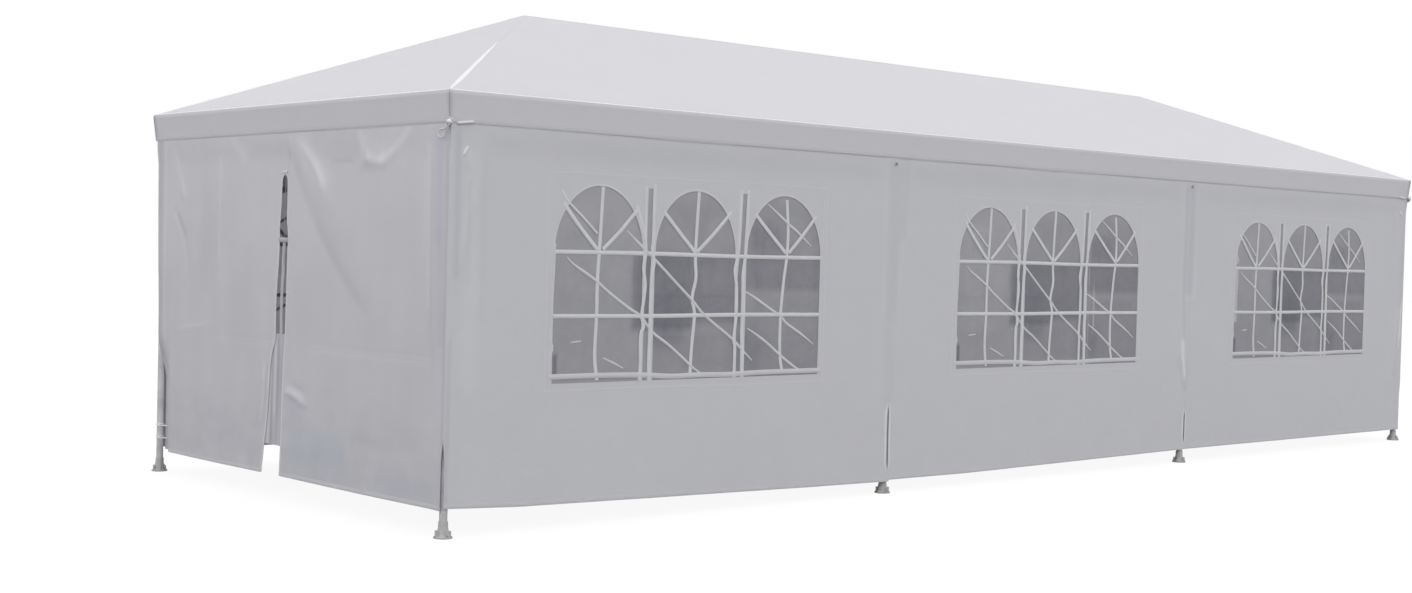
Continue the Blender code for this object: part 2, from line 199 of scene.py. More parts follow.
# Folds of the left end wall seen from outside (the right one mirrors it): path, how far out, and width.
END_FOLDS = (
    (((0.112, 1.892), (0.133, 1.861), (0.164, 1.82), (0.227, 1.774), (0.289, 1.718), (0.33, 1.677),
      (0.36, 1.617)), 0.011, 0.024),
    (((0.20, 1.78), (0.33, 1.64), (0.45, 1.50), (0.56, 1.40)), 0.009, 0.09),
    (((0.023, 1.783), (0.087, 1.68), (0.16, 1.589), (0.222, 1.504), (0.284, 1.419), (0.375, 1.331),
      (0.486, 1.225), (0.604, 1.117), (0.701, 1.048), (0.777, 0.994)), -0.005, 0.034),
    (((0.72, 1.909), (0.739, 1.875), (0.767, 1.807), (0.784, 1.739)), 0.010, 0.020),
    (((0.784, 1.734), (0.89, 1.723), (0.957, 1.731), (1.024, 1.777), (1.082, 1.818), (1.147, 1.854),
      (1.221, 1.88)), 0.006, 0.022),
    (((0.86, 1.86), (0.95, 1.83), (1.05, 1.86)), -0.008, 0.045),
    (((0.465, 1.73), (0.637, 1.727)), -0.004, 0.014),
    (((-1.248, 1.808), (-1.197, 1.696), (-1.147, 1.586)), 0.009, 0.022),
    (((-1.25, 1.487), (-1.199, 1.432), (-1.148, 1.377), (-1.11, 1.285), (-1.086, 1.203), (-1.074, 1.095)),
     -0.008, 0.022),
    (((-0.93, 1.50), (-0.93, 1.12)), -0.005, 0.16),
    (((-0.70, 1.87), (-0.70, 1.37)), 0.005, 0.014),
    (((-0.665, 1.58), (-0.631, 1.38)), 0.005, 0.012),
    (((-0.45, 1.86), (-0.40, 1.45), (-0.42, 1.05)), 0.005, 0.05),
    (((-0.24, 1.87), (-0.20, 1.60), (-0.22, 1.25)), -0.005, 0.05),
    (((0.293, 0.812), (0.8, 0.808), (1.363, 0.812)), -0.004, 0.012),
    (((-0.684, 0.812), (-0.135, 0.81)), -0.004, 0.012),
    (((-1.177, 0.831), (-1.013, 0.844), (-0.828, 0.868)), 0.003, 0.016),
    (((-0.203, 0.687), (-0.182, 0.587), (-0.229, 0.407)), 0.010, 0.020),
    (((0.046, 0.567), (0.1, 0.561), (0.163, 0.545), (0.215, 0.524), (0.236, 0.511)), 0.011, 0.018),
    (((0.10, 0.60), (0.20, 0.575)), -0.006, 0.016),
    (((1.353, 1.756), (1.338, 1.527), (1.357, 1.253), (1.379, 1.072), (1.392, 0.622)), 0.005, 0.02),
    (((1.42, 1.37), (1.425, 0.87)), -0.003, 0.012),
)
# Painted shade of the left end wall, told in the same way: path, how much darker (below zero lighter, a
# painted highlight), and width.
END_SHADES = (
    (((-1.435, 1.90), (-1.435, 0.70)), 0.40, 0.046),
    (((-1.40, 0.60), (-1.39, 0.15)), -0.12, 0.030),
    (((-1.372, 1.9), (-1.372, 1.0), (-1.345, 0.60), (-1.335, 0.15)), -0.20, 0.014),
    (((-1.27, 1.80), (-1.15, 1.60)), -0.18, 0.035),
    (((-1.20, 1.46), (-1.12, 1.37)), 0.26, 0.024),
    (((-0.85, 1.55), (-0.85, 1.22)), 0.13, 0.13),
    (((-0.715, 1.78), (-0.715, 1.25)), -0.16, 0.012),
    (((-0.56, 1.87), (-0.45, 1.78)), -0.18, 0.035),
    (((0.13, 1.84), (0.24, 1.76), (0.37, 1.65)), -0.26, 0.065),
    (((0.31, 1.72), (0.385, 1.62)), -0.16, 0.035),
    (((0.05, 1.82), (0.20, 1.58), (0.44, 1.32), (0.70, 1.08)), 0.15, 0.045),
    (((0.72, 1.87), (0.75, 1.78), (0.90, 1.74)), -0.28, 0.026),
    (((0.92, 1.75), (1.05, 1.80), (1.14, 1.87)), -0.24, 0.026),
    (((0.79, 1.84), (0.90, 1.80), (1.02, 1.85)), -0.18, 0.045),
    (((0.74, 1.705), (0.93, 1.695)), 0.14, 0.022),
    (((0.45, 1.735), (0.65, 1.73)), 0.14, 0.014),
    (((0.05, 1.87), (0.05, 1.80)), -0.18, 0.02),
    (((1.412, 1.80), (1.412, 1.38)), 0.12, 0.048),
    (((1.42, 1.36), (1.44, 0.9)), 0.12, 0.035),
    (((1.472, 1.85), (1.470, 0.5), (1.462, 0.15)), 0.28, 0.012),
    (((1.315, 1.80), (1.33, 1.05)), -0.18, 0.012),
    (((1.285, 1.72), (1.29, 1.30)), -0.10, 0.010),
    (((1.35, 1.72), (1.355, 0.9)), 0.12, 0.012),
    (((0.14, 0.29), (0.56, 0.27)), 0.17, 0.10),
    (((0.12, 0.47), (0.24, 0.42)), 0.12, 0.06),
    (((-0.80, 0.36), (-0.34, 0.24)), 0.12, 0.09),
    (((-1.25, 0.24), (-0.9, 0.22)), 0.10, 0.05),
    (((0.70, 0.40), (0.93, 0.37)), 0.12, 0.035),
    (((0.95, 0.24), (1.38, 0.22)), 0.13, 0.05),
    (((1.1, 0.45), (1.3, 0.40)), 0.08, 0.05),
    (((0.05, 0.565), (0.13, 0.555), (0.20, 0.53)), -0.34, 0.014),
    (((0.08, 0.535), (0.19, 0.50)), 0.22, 0.012),
    (((0.30, 0.822), (0.8, 0.82), (1.35, 0.822)), -0.20, 0.008),
    (((0.30, 0.806), (1.35, 0.806)), 0.10, 0.008),
    (((-0.68, 0.822), (-0.14, 0.82)), -0.18, 0.008),
    (((-0.68, 0.806), (-0.14, 0.806)), 0.10, 0.008),
    (((-0.19, 0.68), (-0.185, 0.58), (-0.215, 0.40)), -0.30, 0.010),
    (((-0.165, 0.68), (-0.17, 0.50)), 0.24, 0.012),
    (((-1.17, 0.84), (-0.85, 0.865)), -0.08, 0.014),
    (((0.03, 1.80), (0.02, 1.72)), 0.2, 0.012),
)
# Tint of an end wall: violet above zero, blue-green below it.
END_TINTS = (
    (((1.415, 1.82), (1.415, 1.38)), 0.45, 0.048),
    (((1.43, 1.30), (1.45, 0.6)), 0.15, 0.03),
    (((1.45, 0.30), (1.45, 0.15)), 0.4, 0.03),
    (((0.18, 0.30), (0.52, 0.28)), -0.6, 0.10),
    (((0.12, 0.50), (0.20, 0.43)), 0.35, 0.07),
    (((0.95, 0.20), (1.40, 0.19)), -0.35, 0.045),
    (((-0.75, 0.35), (-0.35, 0.22)), 0.10, 0.10),
)
# Painted shade of the cloth that shows behind the foot of a door's slit: dark lines above zero, a painted
# highlight line below.
INNER_FLAP_SHADES = (
    (((-0.10, 0.84), (-0.115, 0.30)), 0.4, 0.010),
    (((-0.045, 0.84), (-0.05, 0.30)), 0.4, 0.010),
    (((-0.075, 0.80), (-0.08, 0.45)), -0.4, 0.012),
)
# Folds of the long walls by their legs: path, how far the fold stands out, and its width.
SIDE_FOLDS = (
    (((-4.27, 1.803), (-4.30, 1.578), (-4.367, 1.49), (-4.405, 1.22)), 0.005, 0.020),
    (((-4.39, 1.74), (-4.36, 1.70)), 0.006, 0.014),
    (((1.40, 0.74), (1.43, 0.66), (1.445, 0.60), (1.47, 0.52)), 0.010, 0.014),
    (((1.50, 0.66), (1.52, 0.58)), -0.005, 0.018),
    (((-1.56, 0.44), (-1.545, 0.30)), 0.004, 0.014),
    (((4.40, 0.98), (4.38, 0.78), (4.37, 0.55)), 0.008, 0.018),
    (((4.32, 1.75), (4.36, 1.30)), 0.004, 0.03),
)
# Painted shade of a long wall by its legs, told in the same way, with painted highlights below zero.
SIDE_SHADES = (
    (((-4.432, 1.85), (-4.432, 1.20)), 0.26, 0.018),
    (((-4.458, 0.9), (-4.462, 0.1)), 0.25, 0.010),
    (((-4.35, 1.79), (-4.35, 0.70)), -0.13, 0.050),
    (((-4.365, 1.62), (-4.362, 1.15)), 0.16, 0.010),
    (((-4.29, 1.78), (-4.285, 1.0)), 0.07, 0.012),
    (((-1.50, 1.87), (-1.50, 0.85), (-1.49, 0.52)), 0.10, 0.034),
    (((-1.445, 1.87), (-1.445, 1.0)), 0.08, 0.034),
    (((-1.38, 1.87), (-1.39, 1.45)), 0.08, 0.034),
    (((-1.555, 1.86), (-1.545, 1.0)), -0.09, 0.012),
    (((-1.335, 1.86), (-1.34, 1.45), (-1.41, 1.40), (-1.42, 1.0)), -0.08, 0.014),
    (((1.437, 1.88), (1.437, 1.15), (1.455, 0.85)), 0.24, 0.011),
    (((1.505, 1.87), (1.505, 1.35), (1.50, 1.12)), 0.19, 0.034),
    (((1.46, 1.85), (1.46, 1.2)), 0.08, 0.03),
    (((1.575, 1.86), (1.56, 1.1)), -0.11, 0.012),
    (((1.395, 1.86), (1.40, 1.0)), -0.07, 0.014),
    (((1.475, 1.112), (1.53, 1.117)), -0.30, 0.010),
    (((1.440, 0.82), (1.450, 0.70), (1.468, 0.60)), -0.60, 0.017),
    (((-1.50, 0.47), (-1.497, 0.36)), -0.42, 0.012),
    (((1.49, 0.66), (1.50, 0.54)), 0.34, 0.012),
    (((4.445, 1.85), (4.45, 1.0)), 0.10, 0.020),
    (((4.35, 1.80), (4.37, 1.2)), -0.06, 0.02),
)

# Edges of the two door flaps along the slit, as (height, along).
BACK_FLAP_EDGE = (
    (1.68, -0.015), (1.668, -0.032), (1.651, -0.039), (1.519, -0.048), (1.453, -0.055), (1.392, -0.060),
    (1.275, -0.058), (1.021, -0.080), (0.825, -0.079), (0.768, -0.108), (0.691, -0.125), (0.514, -0.139),
    (0.388, -0.152), (0.304, -0.170), (0.125, -0.20),
)
FRONT_FLAP_EDGE = (
    (1.68, -0.011), (1.668, 0.006), (1.651, 0.012), (1.519, 0.014), (1.453, 0.010), (1.392, 0.026),
    (1.276, 0.024), (1.025, 0.020), (0.829, 0.016), (0.774, 0.007), (0.523, -0.003), (0.32, -0.006),
    (0.125, -0.02),
)
SLIT_TOP = 1.68
END_HEM = 0.128
# Lower edge of a long wall seen from the front, as (along, height).
FRONT_HEM = (
    (-4.45, 0.136), (-4.05, 0.116), (-2.15, 0.077), (-1.4835, 0.066), (-1.48, 0.075), (-0.79, 0.070),
    (1.48, 0.089), (1.4835, 0.090), (4.45, 0.087),
)

# The camera: its place, its turns in radians, its lens and sensor in millimetres.
CAMERA_PLACE = (-9.108, -8.350, 1.333)
CAMERA_HEADING = -0.7353
CAMERA_PITCH = -0.0241
CAMERA_ROLL = -0.0254
CAMERA_LENS = 46.165
CAMERA_SENSOR = 36.0


def between(value, table):
    """Reads a table of (key, value) pairs in rising or falling order of key."""
    rows = sorted(table)
    if value <= rows[0][0]:
        return rows[0][1]
    for (a, low), (b, high) in zip(rows, rows[1:]):
        if value <= b:
            return low + (high - low) * (value - a) / (b - a)
    return rows[-1][1]


def ease(value, low, high):
    """Returns 0 at low and 1 at high, with a smooth start and end."""
    share = min(1.0, max(0.0, (value - low) / (high - low)))
    return share * share * (3.0 - 2.0 * share)


def ripple(a, b, scale, seed):
    """Smooth noise between -1 and 1 that is the same each run."""
    return noise.noise(Vector((a * scale, b * scale, seed)))


def steps(start, end, size):
    """Evenly spaced values from start to end."""
    count = max(1, round(abs(end - start) / size))
    return [start + (end - start) * i / count for i in range(count + 1)]


def runs(*lists):
    """Joins lists of values that meet at their ends."""
    whole = list(lists[0])
    for values in lists[1:]:
        whole += list(values)[1:]
    return whole


def way(value):
    """Gives which side of the middle a value lies on, as 1 or -1."""
    return 1.0 if value > 0 else -1.0


def bay_name(side, bay):
    """Names a bay by its place seen from the front; bays are counted as seen from outside."""
    return BAY_NAMES[bay if side == "front" else 2 - bay]


def on_side(side, along, out, height):
    """Gives the place of a point on one side of the tent, seen from outside."""
    nx, ny = OUTWARD[side]
    return Vector((nx * out - ny * along, ny * out + nx * along, height))


def on_end(side, along, out, height):
    """Gives the place of a point on an end wall, with the tent's front at positive along at both ends."""
    return on_side(side, along if side == "left" else -along, out, height)


def smooth_path(points, spacing):
    """Gives evenly spaced points on a smooth curve through the given ones."""
    points = [Vector(point) for point in points]
    ends = [points[0] * 2 - points[1]] + points + [points[-1] * 2 - points[-2]]
    fine = []
    for i in range(len(points) - 1):
        a, b, c, d = ends[i:i + 4]
        for k in range(CURVE_PARTS):
            t = k / CURVE_PARTS
            square = (a * 2 - b * 5 + c * 4 - d) * t * t
            cube = (b * 3 - a - c * 3 + d) * t ** 3
            fine.append((b * 2 + (c - a) * t + square + cube) * 0.5)
    fine.append(points[-1])
    reach = [0.0]
    for p, q in zip(fine, fine[1:]):
        reach.append(reach[-1] + (q - p).length)
    count = max(2, round(reach[-1] / spacing))
    laid = []
    j = 0
    for i in range(count + 1):
        goal = reach[-1] * i / count
        while j < len(reach) - 2 and reach[j + 1] < goal:
            j += 1
        share = (goal - reach[j]) / max(1e-9, reach[j + 1] - reach[j])
        laid.append(fine[j].lerp(fine[j + 1], min(1.0, share)))
    return laid


def new_shape():
    """Starts a mesh that has a map for cloth patterns, in metres."""
    bm = bmesh.new()
    bm.loops.layers.uv.new(CLOTH_MAP)
    return bm


def add_grid(bm, across, up, place, flat=None):
    """Adds a grid with a column at each value of across and a row at each of up, laid by place."""
    columns = len(across) - 1
    rows = len(up) - 1
    made = bmesh.ops.create_grid(bm, x_segments=columns, y_segments=rows, size=0.5)["verts"]
    cloth_map = bm.loops.layers.uv[CLOTH_MAP]
    spots = {}
    for vert in made:
        a = across[round((vert.co.x + 0.5) * columns)]
        b = up[round((vert.co.y + 0.5) * rows)]
        spots[vert] = flat(a, b) if flat else (a, b)
        vert.co = place(a, b)
    for face in {face for vert in made for face in vert.link_faces}:
        for loop in face.loops:
            loop[cloth_map].uv = spots[loop.vert]


def add_ribbon(bm, path, width, lift, place, spacing=0.02, rise=0.0, taper=0.0, narrow=1.0):
    """Adds a low rounded strip along a path; place takes two surface values and a height over them."""
    points = smooth_path(path, spacing)
    last = len(points) - 1

    def lay(step, side):
        i = int(step)
        ahead = points[min(last, i + 1)] - points[max(0, i - 1)]
        ahead.normalize()
        end = min(1.0, min(i, last - i) * spacing / taper) if taper else 1.0
        reach = side * width * (0.35 + 0.65 * end) * (1.0 + (narrow - 1.0) * i / last)
        crown = 1.0 - (2 * side) ** 2
        spot = points[i] + Vector((-ahead.y, ahead.x)) * reach
        return place(spot.x, spot.y, rise + lift * crown * end)

    columns = list(range(last + 1))
    add_grid(bm, columns, (-0.5, -0.32, 0.0, 0.32, 0.5), lay, lambda a, b: (a * spacing, b * width))


def add_rod(bm, path, radius, sides=8, loop=False):
    """Adds a round rod along a path of points; an open one gets closed ends."""
    points = [Vector(point) for point in path]
    if not loop:
        points = [points[0]] + points + [points[-1]]
    last = len(points) - (0 if loop else 1)
    upright = Vector((0.31, 0.17, 0.93)).normalized()

    def lay(step, turn):
        i = int(step)
        if loop:
            here = points[i % last]
            ahead = points[(i + 1) % last] - points[(i - 1) % last]
        else:
            here = points[i]
            ahead = points[min(last, i + 1)] - points[max(0, i - 1)]
        ahead.normalize()
        first = (upright - ahead * upright.dot(ahead)).normalized()
        second = ahead.cross(first)
        reach = 0.0 if not loop and i in (0, last) else radius
        angle = -2 * math.pi * turn
        return here + (first * math.cos(angle) + second * math.sin(angle)) * reach

    turns = [k / sides for k in range(sides + 1)]
    add_grid(bm, list(range(last + 1)), turns, lay, lambda a, b: (a * 0.01, b * 2 * math.pi * radius))


def add_ball(bm, centre, radius, stretch):
    """Adds a ball, stretched along each axis by its own share."""
    verts = bmesh.ops.create_icosphere(bm, subdivisions=3, radius=radius)["verts"]
    bmesh.ops.scale(bm, vec=stretch, verts=verts)
    bmesh.ops.translate(bm, vec=centre, verts=verts)


def finish_piece(name, bm, look, thickness=0.0, flip=False):
    """Turns the mesh into a piece that rides on the tent; a mirrored shape is flipped to face outwards."""
    bmesh.ops.remove_doubles(bm, verts=bm.verts, dist=MERGE)
    bmesh.ops.dissolve_degenerate(bm, edges=bm.edges, dist=MERGE)
    if flip:
        bmesh.ops.reverse_faces(bm, faces=bm.faces)
    if not bm.faces:
        raise RuntimeError(name + " has no faces")
    if thickness:
        for edge in bm.edges:
            edge.smooth = not edge.is_boundary
    mesh = bpy.data.meshes.new(name)
    bm.to_mesh(mesh)
    bm.free()
    for face in mesh.polygons:
        face.use_smooth = True
    mesh.materials.append(material(look))
    piece = bpy.data.objects.new(name, mesh)
    bpy.context.scene.collection.objects.link(piece)
    if thickness:
        wall = piece.modifiers.new("Cloth thickness", "SOLIDIFY")
        wall.thickness = thickness
        wall.offset = -1.0
    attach(piece, "root")
    return piece


# Materials and their shared node groups.


def feed(tree, inputs, values):
    """Links each value that is a socket to its input, and sets any other."""
    for key, value in values.items():
        if isinstance(value, bpy.types.NodeSocket):
            tree.links.new(value, inputs[key])
        else:
            inputs[key].default_value = value


def node(tree, kind, values=None, **settings):
    """Adds a node with its settings, and feeds its inputs."""
    made = tree.nodes.new(kind)
    for key, value in settings.items():
        setattr(made, key, value)
    feed(tree, made.inputs, values or {})
    return made


def maths(tree, operation, first, second=0.0, third=None, clamp=False):
    """Adds a Math node and gives its result."""
    values = {0: first, 1: second}
    if third is not None:
        values[2] = third
    return node(tree, "ShaderNodeMath", values, operation=operation, use_clamp=clamp).outputs[0]


def speckle(tree, vector, scale, detail, **more):
    """Adds a noise pattern and gives its strength."""
    values = {"Vector": vector, "Scale": scale, "Detail": detail, **more}
    return node(tree, "ShaderNodeTexNoise", values).outputs["Fac"]


def new_group(name, inputs, outputs):
    """Starts a shader node group that reads a vector and some named numbers, and gives named numbers."""
    tree = bpy.data.node_groups.new(name, "ShaderNodeTree")
    tree.interface.new_socket("Vector", in_out="INPUT", socket_type="NodeSocketVector")
    for label, value in inputs.items():
        socket = tree.interface.new_socket(label, in_out="INPUT", socket_type="NodeSocketFloat")
        socket.default_value = value
    for label in outputs:
        tree.interface.new_socket(label, in_out="OUTPUT", socket_type="NodeSocketFloat")
    return tree, tree.nodes.new("NodeGroupInput").outputs, tree.nodes.new("NodeGroupOutput").inputs


def use_group(tree, name, values):
    """Places a shared group in a material and gives its outputs."""
    return node(tree, "ShaderNodeGroup", values, node_tree=bpy.data.node_groups[name]).outputs


def make_weave():
    """Builds the group for woven cloth: threads, crumples and an uneven tone."""
    inputs = {"Thread Pitch": 0.003, "Weave": 0.25, "Crumple": 1.0}
    tree, read, give = new_group("Woven cloth", inputs, ["Height", "Tone"])
    split = node(tree, "ShaderNodeSeparateXYZ", {0: read["Vector"]}).outputs
    pulse = maths(tree, "DIVIDE", 2 * math.pi, read["Thread Pitch"])
    warp = maths(tree, "SINE", maths(tree, "MULTIPLY", split[0], pulse))
    weft = maths(tree, "SINE", maths(tree, "MULTIPLY", split[1], pulse))
    threads = maths(tree, "MULTIPLY", maths(tree, "MULTIPLY", warp, weft), read["Weave"])
    broad = speckle(tree, read["Vector"], 1.7, 2.0)
    small = speckle(tree, read["Vector"], 13.0, 3.0, Distortion=0.4)
    folds = maths(tree, "MULTIPLY_ADD", small, 0.35, broad)
    rough = maths(tree, "MULTIPLY", folds, read["Crumple"])
    tone = maths(tree, "MULTIPLY_ADD", small, 0.5, maths(tree, "MULTIPLY", broad, 0.5))
    feed(tree, give, {"Height": maths(tree, "ADD", threads, rough), "Tone": tone})


def make_stitches():
    """Builds the group for two rows of stitches along a tape."""
    tree, read, give = new_group("Stitch rows", {"Stitch Length": 0.005, "Row Offset": 0.007}, ["Mask"])
    split = node(tree, "ShaderNodeSeparateXYZ", {0: read["Vector"]}).outputs
    dash = maths(tree, "FRACT", maths(tree, "DIVIDE", split[0], read["Stitch Length"]))
    drawn = maths(tree, "LESS_THAN", dash, 0.7)
    across = maths(tree, "SUBTRACT", maths(tree, "ABSOLUTE", split[1]), read["Row Offset"])
    row = maths(tree, "LESS_THAN", maths(tree, "ABSOLUTE", across), 0.0007)
    feed(tree, give, {"Mask": maths(tree, "MULTIPLY", drawn, row)})


def make_ground_darkening():
    """Builds the group that darkens in patches which thin out towards a height: dust, and on the end walls
    painted shade as well.
    """
    tree, read, give = new_group("Ground darkening", {"Top": 0.5, "Patch Scale": 6.0}, ["Mask"])
    height = node(tree, "ShaderNodeSeparateXYZ", {0: read["Vector"]}).outputs[2]
    fade = node(tree, "ShaderNodeMapRange", {"Value": height, "From Min": read["Top"], "From Max": 0.0})
    patches = speckle(tree, read["Vector"], read["Patch Scale"], 5.0, Roughness=0.62)
    lifted = maths(tree, "MULTIPLY_ADD", patches, 1.5, -0.35)
    feed(tree, give, {"Mask": maths(tree, "MULTIPLY", fade.outputs[0], lifted, clamp=True)})


def make_wear():
    """Builds the group for scuffs and the fine grain of a coating."""
    tree, read, give = new_group("Handling wear", {"Speck Scale": 220.0, "Amount": 0.1}, ["Mask", "Height"])
    specks = speckle(tree, read["Vector"], read["Speck Scale"], 4.0, Roughness=0.7)
    both = maths(tree, "MULTIPLY", specks, speckle(tree, read["Vector"], 9.0, 3.0))
    edge = maths(tree, "SUBTRACT", 0.42, maths(tree, "MULTIPLY", read["Amount"], 0.5))
    mask = node(tree, "ShaderNodeMapRange", {"Value": both, "From Min": edge, "From Max": 0.5})
    feed(tree, give, {"Mask": mask.outputs[0], "Height": specks})


def new_material(name, roughness, **sockets):
    """Starts a material and gives its tree and shader."""
    made = bpy.data.materials.new(name)
    made.use_nodes = True
    shader = made.node_tree.nodes["Principled BSDF"]
    shader.inputs["Roughness"].default_value = roughness
    for key, value in sockets.items():
        shader.inputs[key.replace("_", " ")].default_value = value
    return made.node_tree, shader


def material(name):
    """Finds a material by name and stops if it isn't there."""
    found = bpy.data.materials.get(name)
    if found is None:
        raise RuntimeError("material " + name + " hasn't been made")
    return found


def cloth_vector(tree):
    """Reads the piece's own map, in metres."""
    return node(tree, "ShaderNodeUVMap", uv_map=CLOTH_MAP).outputs["UV"]


def object_vector(tree):
    """Reads the place in the tent's own frame."""
    return tree.nodes.new("ShaderNodeTexCoord").outputs["Object"]


def attribute(tree, name):
    """Reads a number that is written on the piece's points."""
    return node(tree, "ShaderNodeAttribute", attribute_name=name).outputs["Fac"]


def blend(tree, share, first, second):
    """Mixes two colours by a share from 0 to 1."""
    values = {0: share, 6: first, 7: second}
    for index in (6, 7):
        if not isinstance(values[index], bpy.types.NodeSocket):
            values[index] = (*values[index][:3], 1.0)
    return node(tree, "ShaderNodeMix", values, data_type="RGBA").outputs[2]


def add_bump(tree, shader, height, strength, distance):
    """Lets a height raise the surface."""
    bump = node(tree, "ShaderNodeBump", {"Strength": strength, "Distance": distance, "Height": height})
    feed(tree, shader.inputs, {"Normal": bump.outputs[0]})


def tinted(colour, shares):
    """Gives a colour with each channel made darker or lighter by its own share."""
    return tuple(channel * share for channel, share in zip(colour, shares))


def shaded(colour, share):
    """Gives a colour made darker or lighter."""
    return tinted(colour, (share, share, share))


# What the marks on cloth do: name, colour shares where the mark is above zero, and where it is below.
# Above zero the painted_shading_and_tone mark is painted shade, below zero painted highlight; random tone is
# mixed into it.
CLOTH_MARKS = (
    ("painted_shading_and_tone", (0.60, 0.59, 0.645), (1.38, 1.38, 1.38)),
    ("tint", (0.93, 0.91, 1.08), (0.86, 0.94, 1.01)),
)
# Colour of the darkening near the ground on cloth: light dust on the long walls, painted shade on the end
# walls.
CLOTH_DUST_AND_SHADE = (0.50, 0.505, 0.55)
PLASTIC_DUST = (0.42, 0.40, 0.37)


def cloth_material(name, colour, roughness, crumple, ground_darkening, depth=0.004, gloss=0.35):
    """Coated polyester: fine weave, soft crumples, the piece's own marks of painted shading, random tone and
    tint, and darkening near the ground.
    """
    tree, shader = new_material(name, roughness, Specular_IOR_Level=gloss)
    surface = use_group(tree, "Woven cloth", {"Vector": cloth_vector(tree), "Crumple": crumple})
    tone = blend(tree, surface["Tone"], shaded(colour, 0.97), shaded(colour, 1.03))
    for mark, above, below in CLOTH_MARKS:
        written = attribute(tree, mark)
        for sign, shares in ((1.0, above), (-1.0, below)):
            share = maths(tree, "MULTIPLY", written, sign, clamp=True)
            tone = blend(tree, share, tone, tinted(colour, shares))
    if ground_darkening:
        place = object_vector(tree)
        ground_patches = use_group(tree, "Ground darkening", {"Vector": place, "Top": 0.62, "Patch Scale": 7.0})
        tone = blend(tree, maths(tree, "MULTIPLY", ground_patches["Mask"], ground_darkening), tone, CLOTH_DUST_AND_SHADE)
    feed(tree, shader.inputs, {"Base Color": tone})
    add_bump(tree, shader, surface["Height"], 0.35, depth)


def tape_material(name, colour, roughness):
    """Sewn tape: ribbed weave with two rows of stitches."""
    tree, shader = new_material(name, roughness, Specular_IOR_Level=0.4)
    vector = cloth_vector(tree)
    weave = {"Vector": vector, "Thread Pitch": 0.0018, "Weave": 0.4, "Crumple": 1.3}
    surface = use_group(tree, "Woven cloth", weave)
    stitches = use_group(tree, "Stitch rows", {"Vector": vector})["Mask"]
    tone = blend(tree, surface["Tone"], shaded(colour, 0.93), shaded(colour, 1.05))
    tone = blend(tree, maths(tree, "MULTIPLY", stitches, 0.5), tone, shaded(colour, 0.75))
    feed(tree, shader.inputs, {"Base Color": tone})
    add_bump(tree, shader, maths(tree, "SUBTRACT", surface["Height"], stitches), 0.4, 0.002)


def film_material(name, light, dark, alpha, roughness):
    """Clear window film with random haze; its darker patches, read from the piece's depth attribute, are
    painted shade, mostly of the dim inside seen through the film.
    """
    tree, shader = new_material(name, roughness, Alpha=alpha, IOR=1.45)
    vector = cloth_vector(tree)
    haze = speckle(tree, vector, 9.0, 7.0, Roughness=0.66, Distortion=0.6)
    depth = maths(tree, "SUBTRACT", attribute(tree, "depth"), 0.22)
    share = maths(tree, "MULTIPLY_ADD", haze, 0.46, depth, clamp=True)
    feed(tree, shader.inputs, {"Base Color": blend(tree, share, light, dark)})
    add_bump(tree, shader, speckle(tree, vector, 7.0, 2.0), 0.25, 0.004)


def coated_material(name, colour, roughness, metallic, worn, ground_darkening):
    """Powder-coated steel or moulded plastic: orange peel, scuffs and dust near the ground."""
    tree, shader = new_material(name, roughness, Metallic=metallic)
    vector = object_vector(tree)
    wear = use_group(tree, "Handling wear", {"Vector": vector, "Amount": worn})
    ground_patches = use_group(tree, "Ground darkening", {"Vector": vector, "Top": 0.3, "Patch Scale": 30.0})
    tone = blend(tree, wear["Mask"], colour, shaded(colour, 0.55))
    tone = blend(tree, maths(tree, "MULTIPLY", ground_patches["Mask"], ground_darkening), tone, PLASTIC_DUST)
    rough = maths(tree, "MULTIPLY_ADD", wear["Mask"], 0.25, roughness)
    feed(tree, shader.inputs, {"Base Color": tone, "Roughness": rough})
    add_bump(tree, shader, wear["Height"], 0.15, 0.0006)


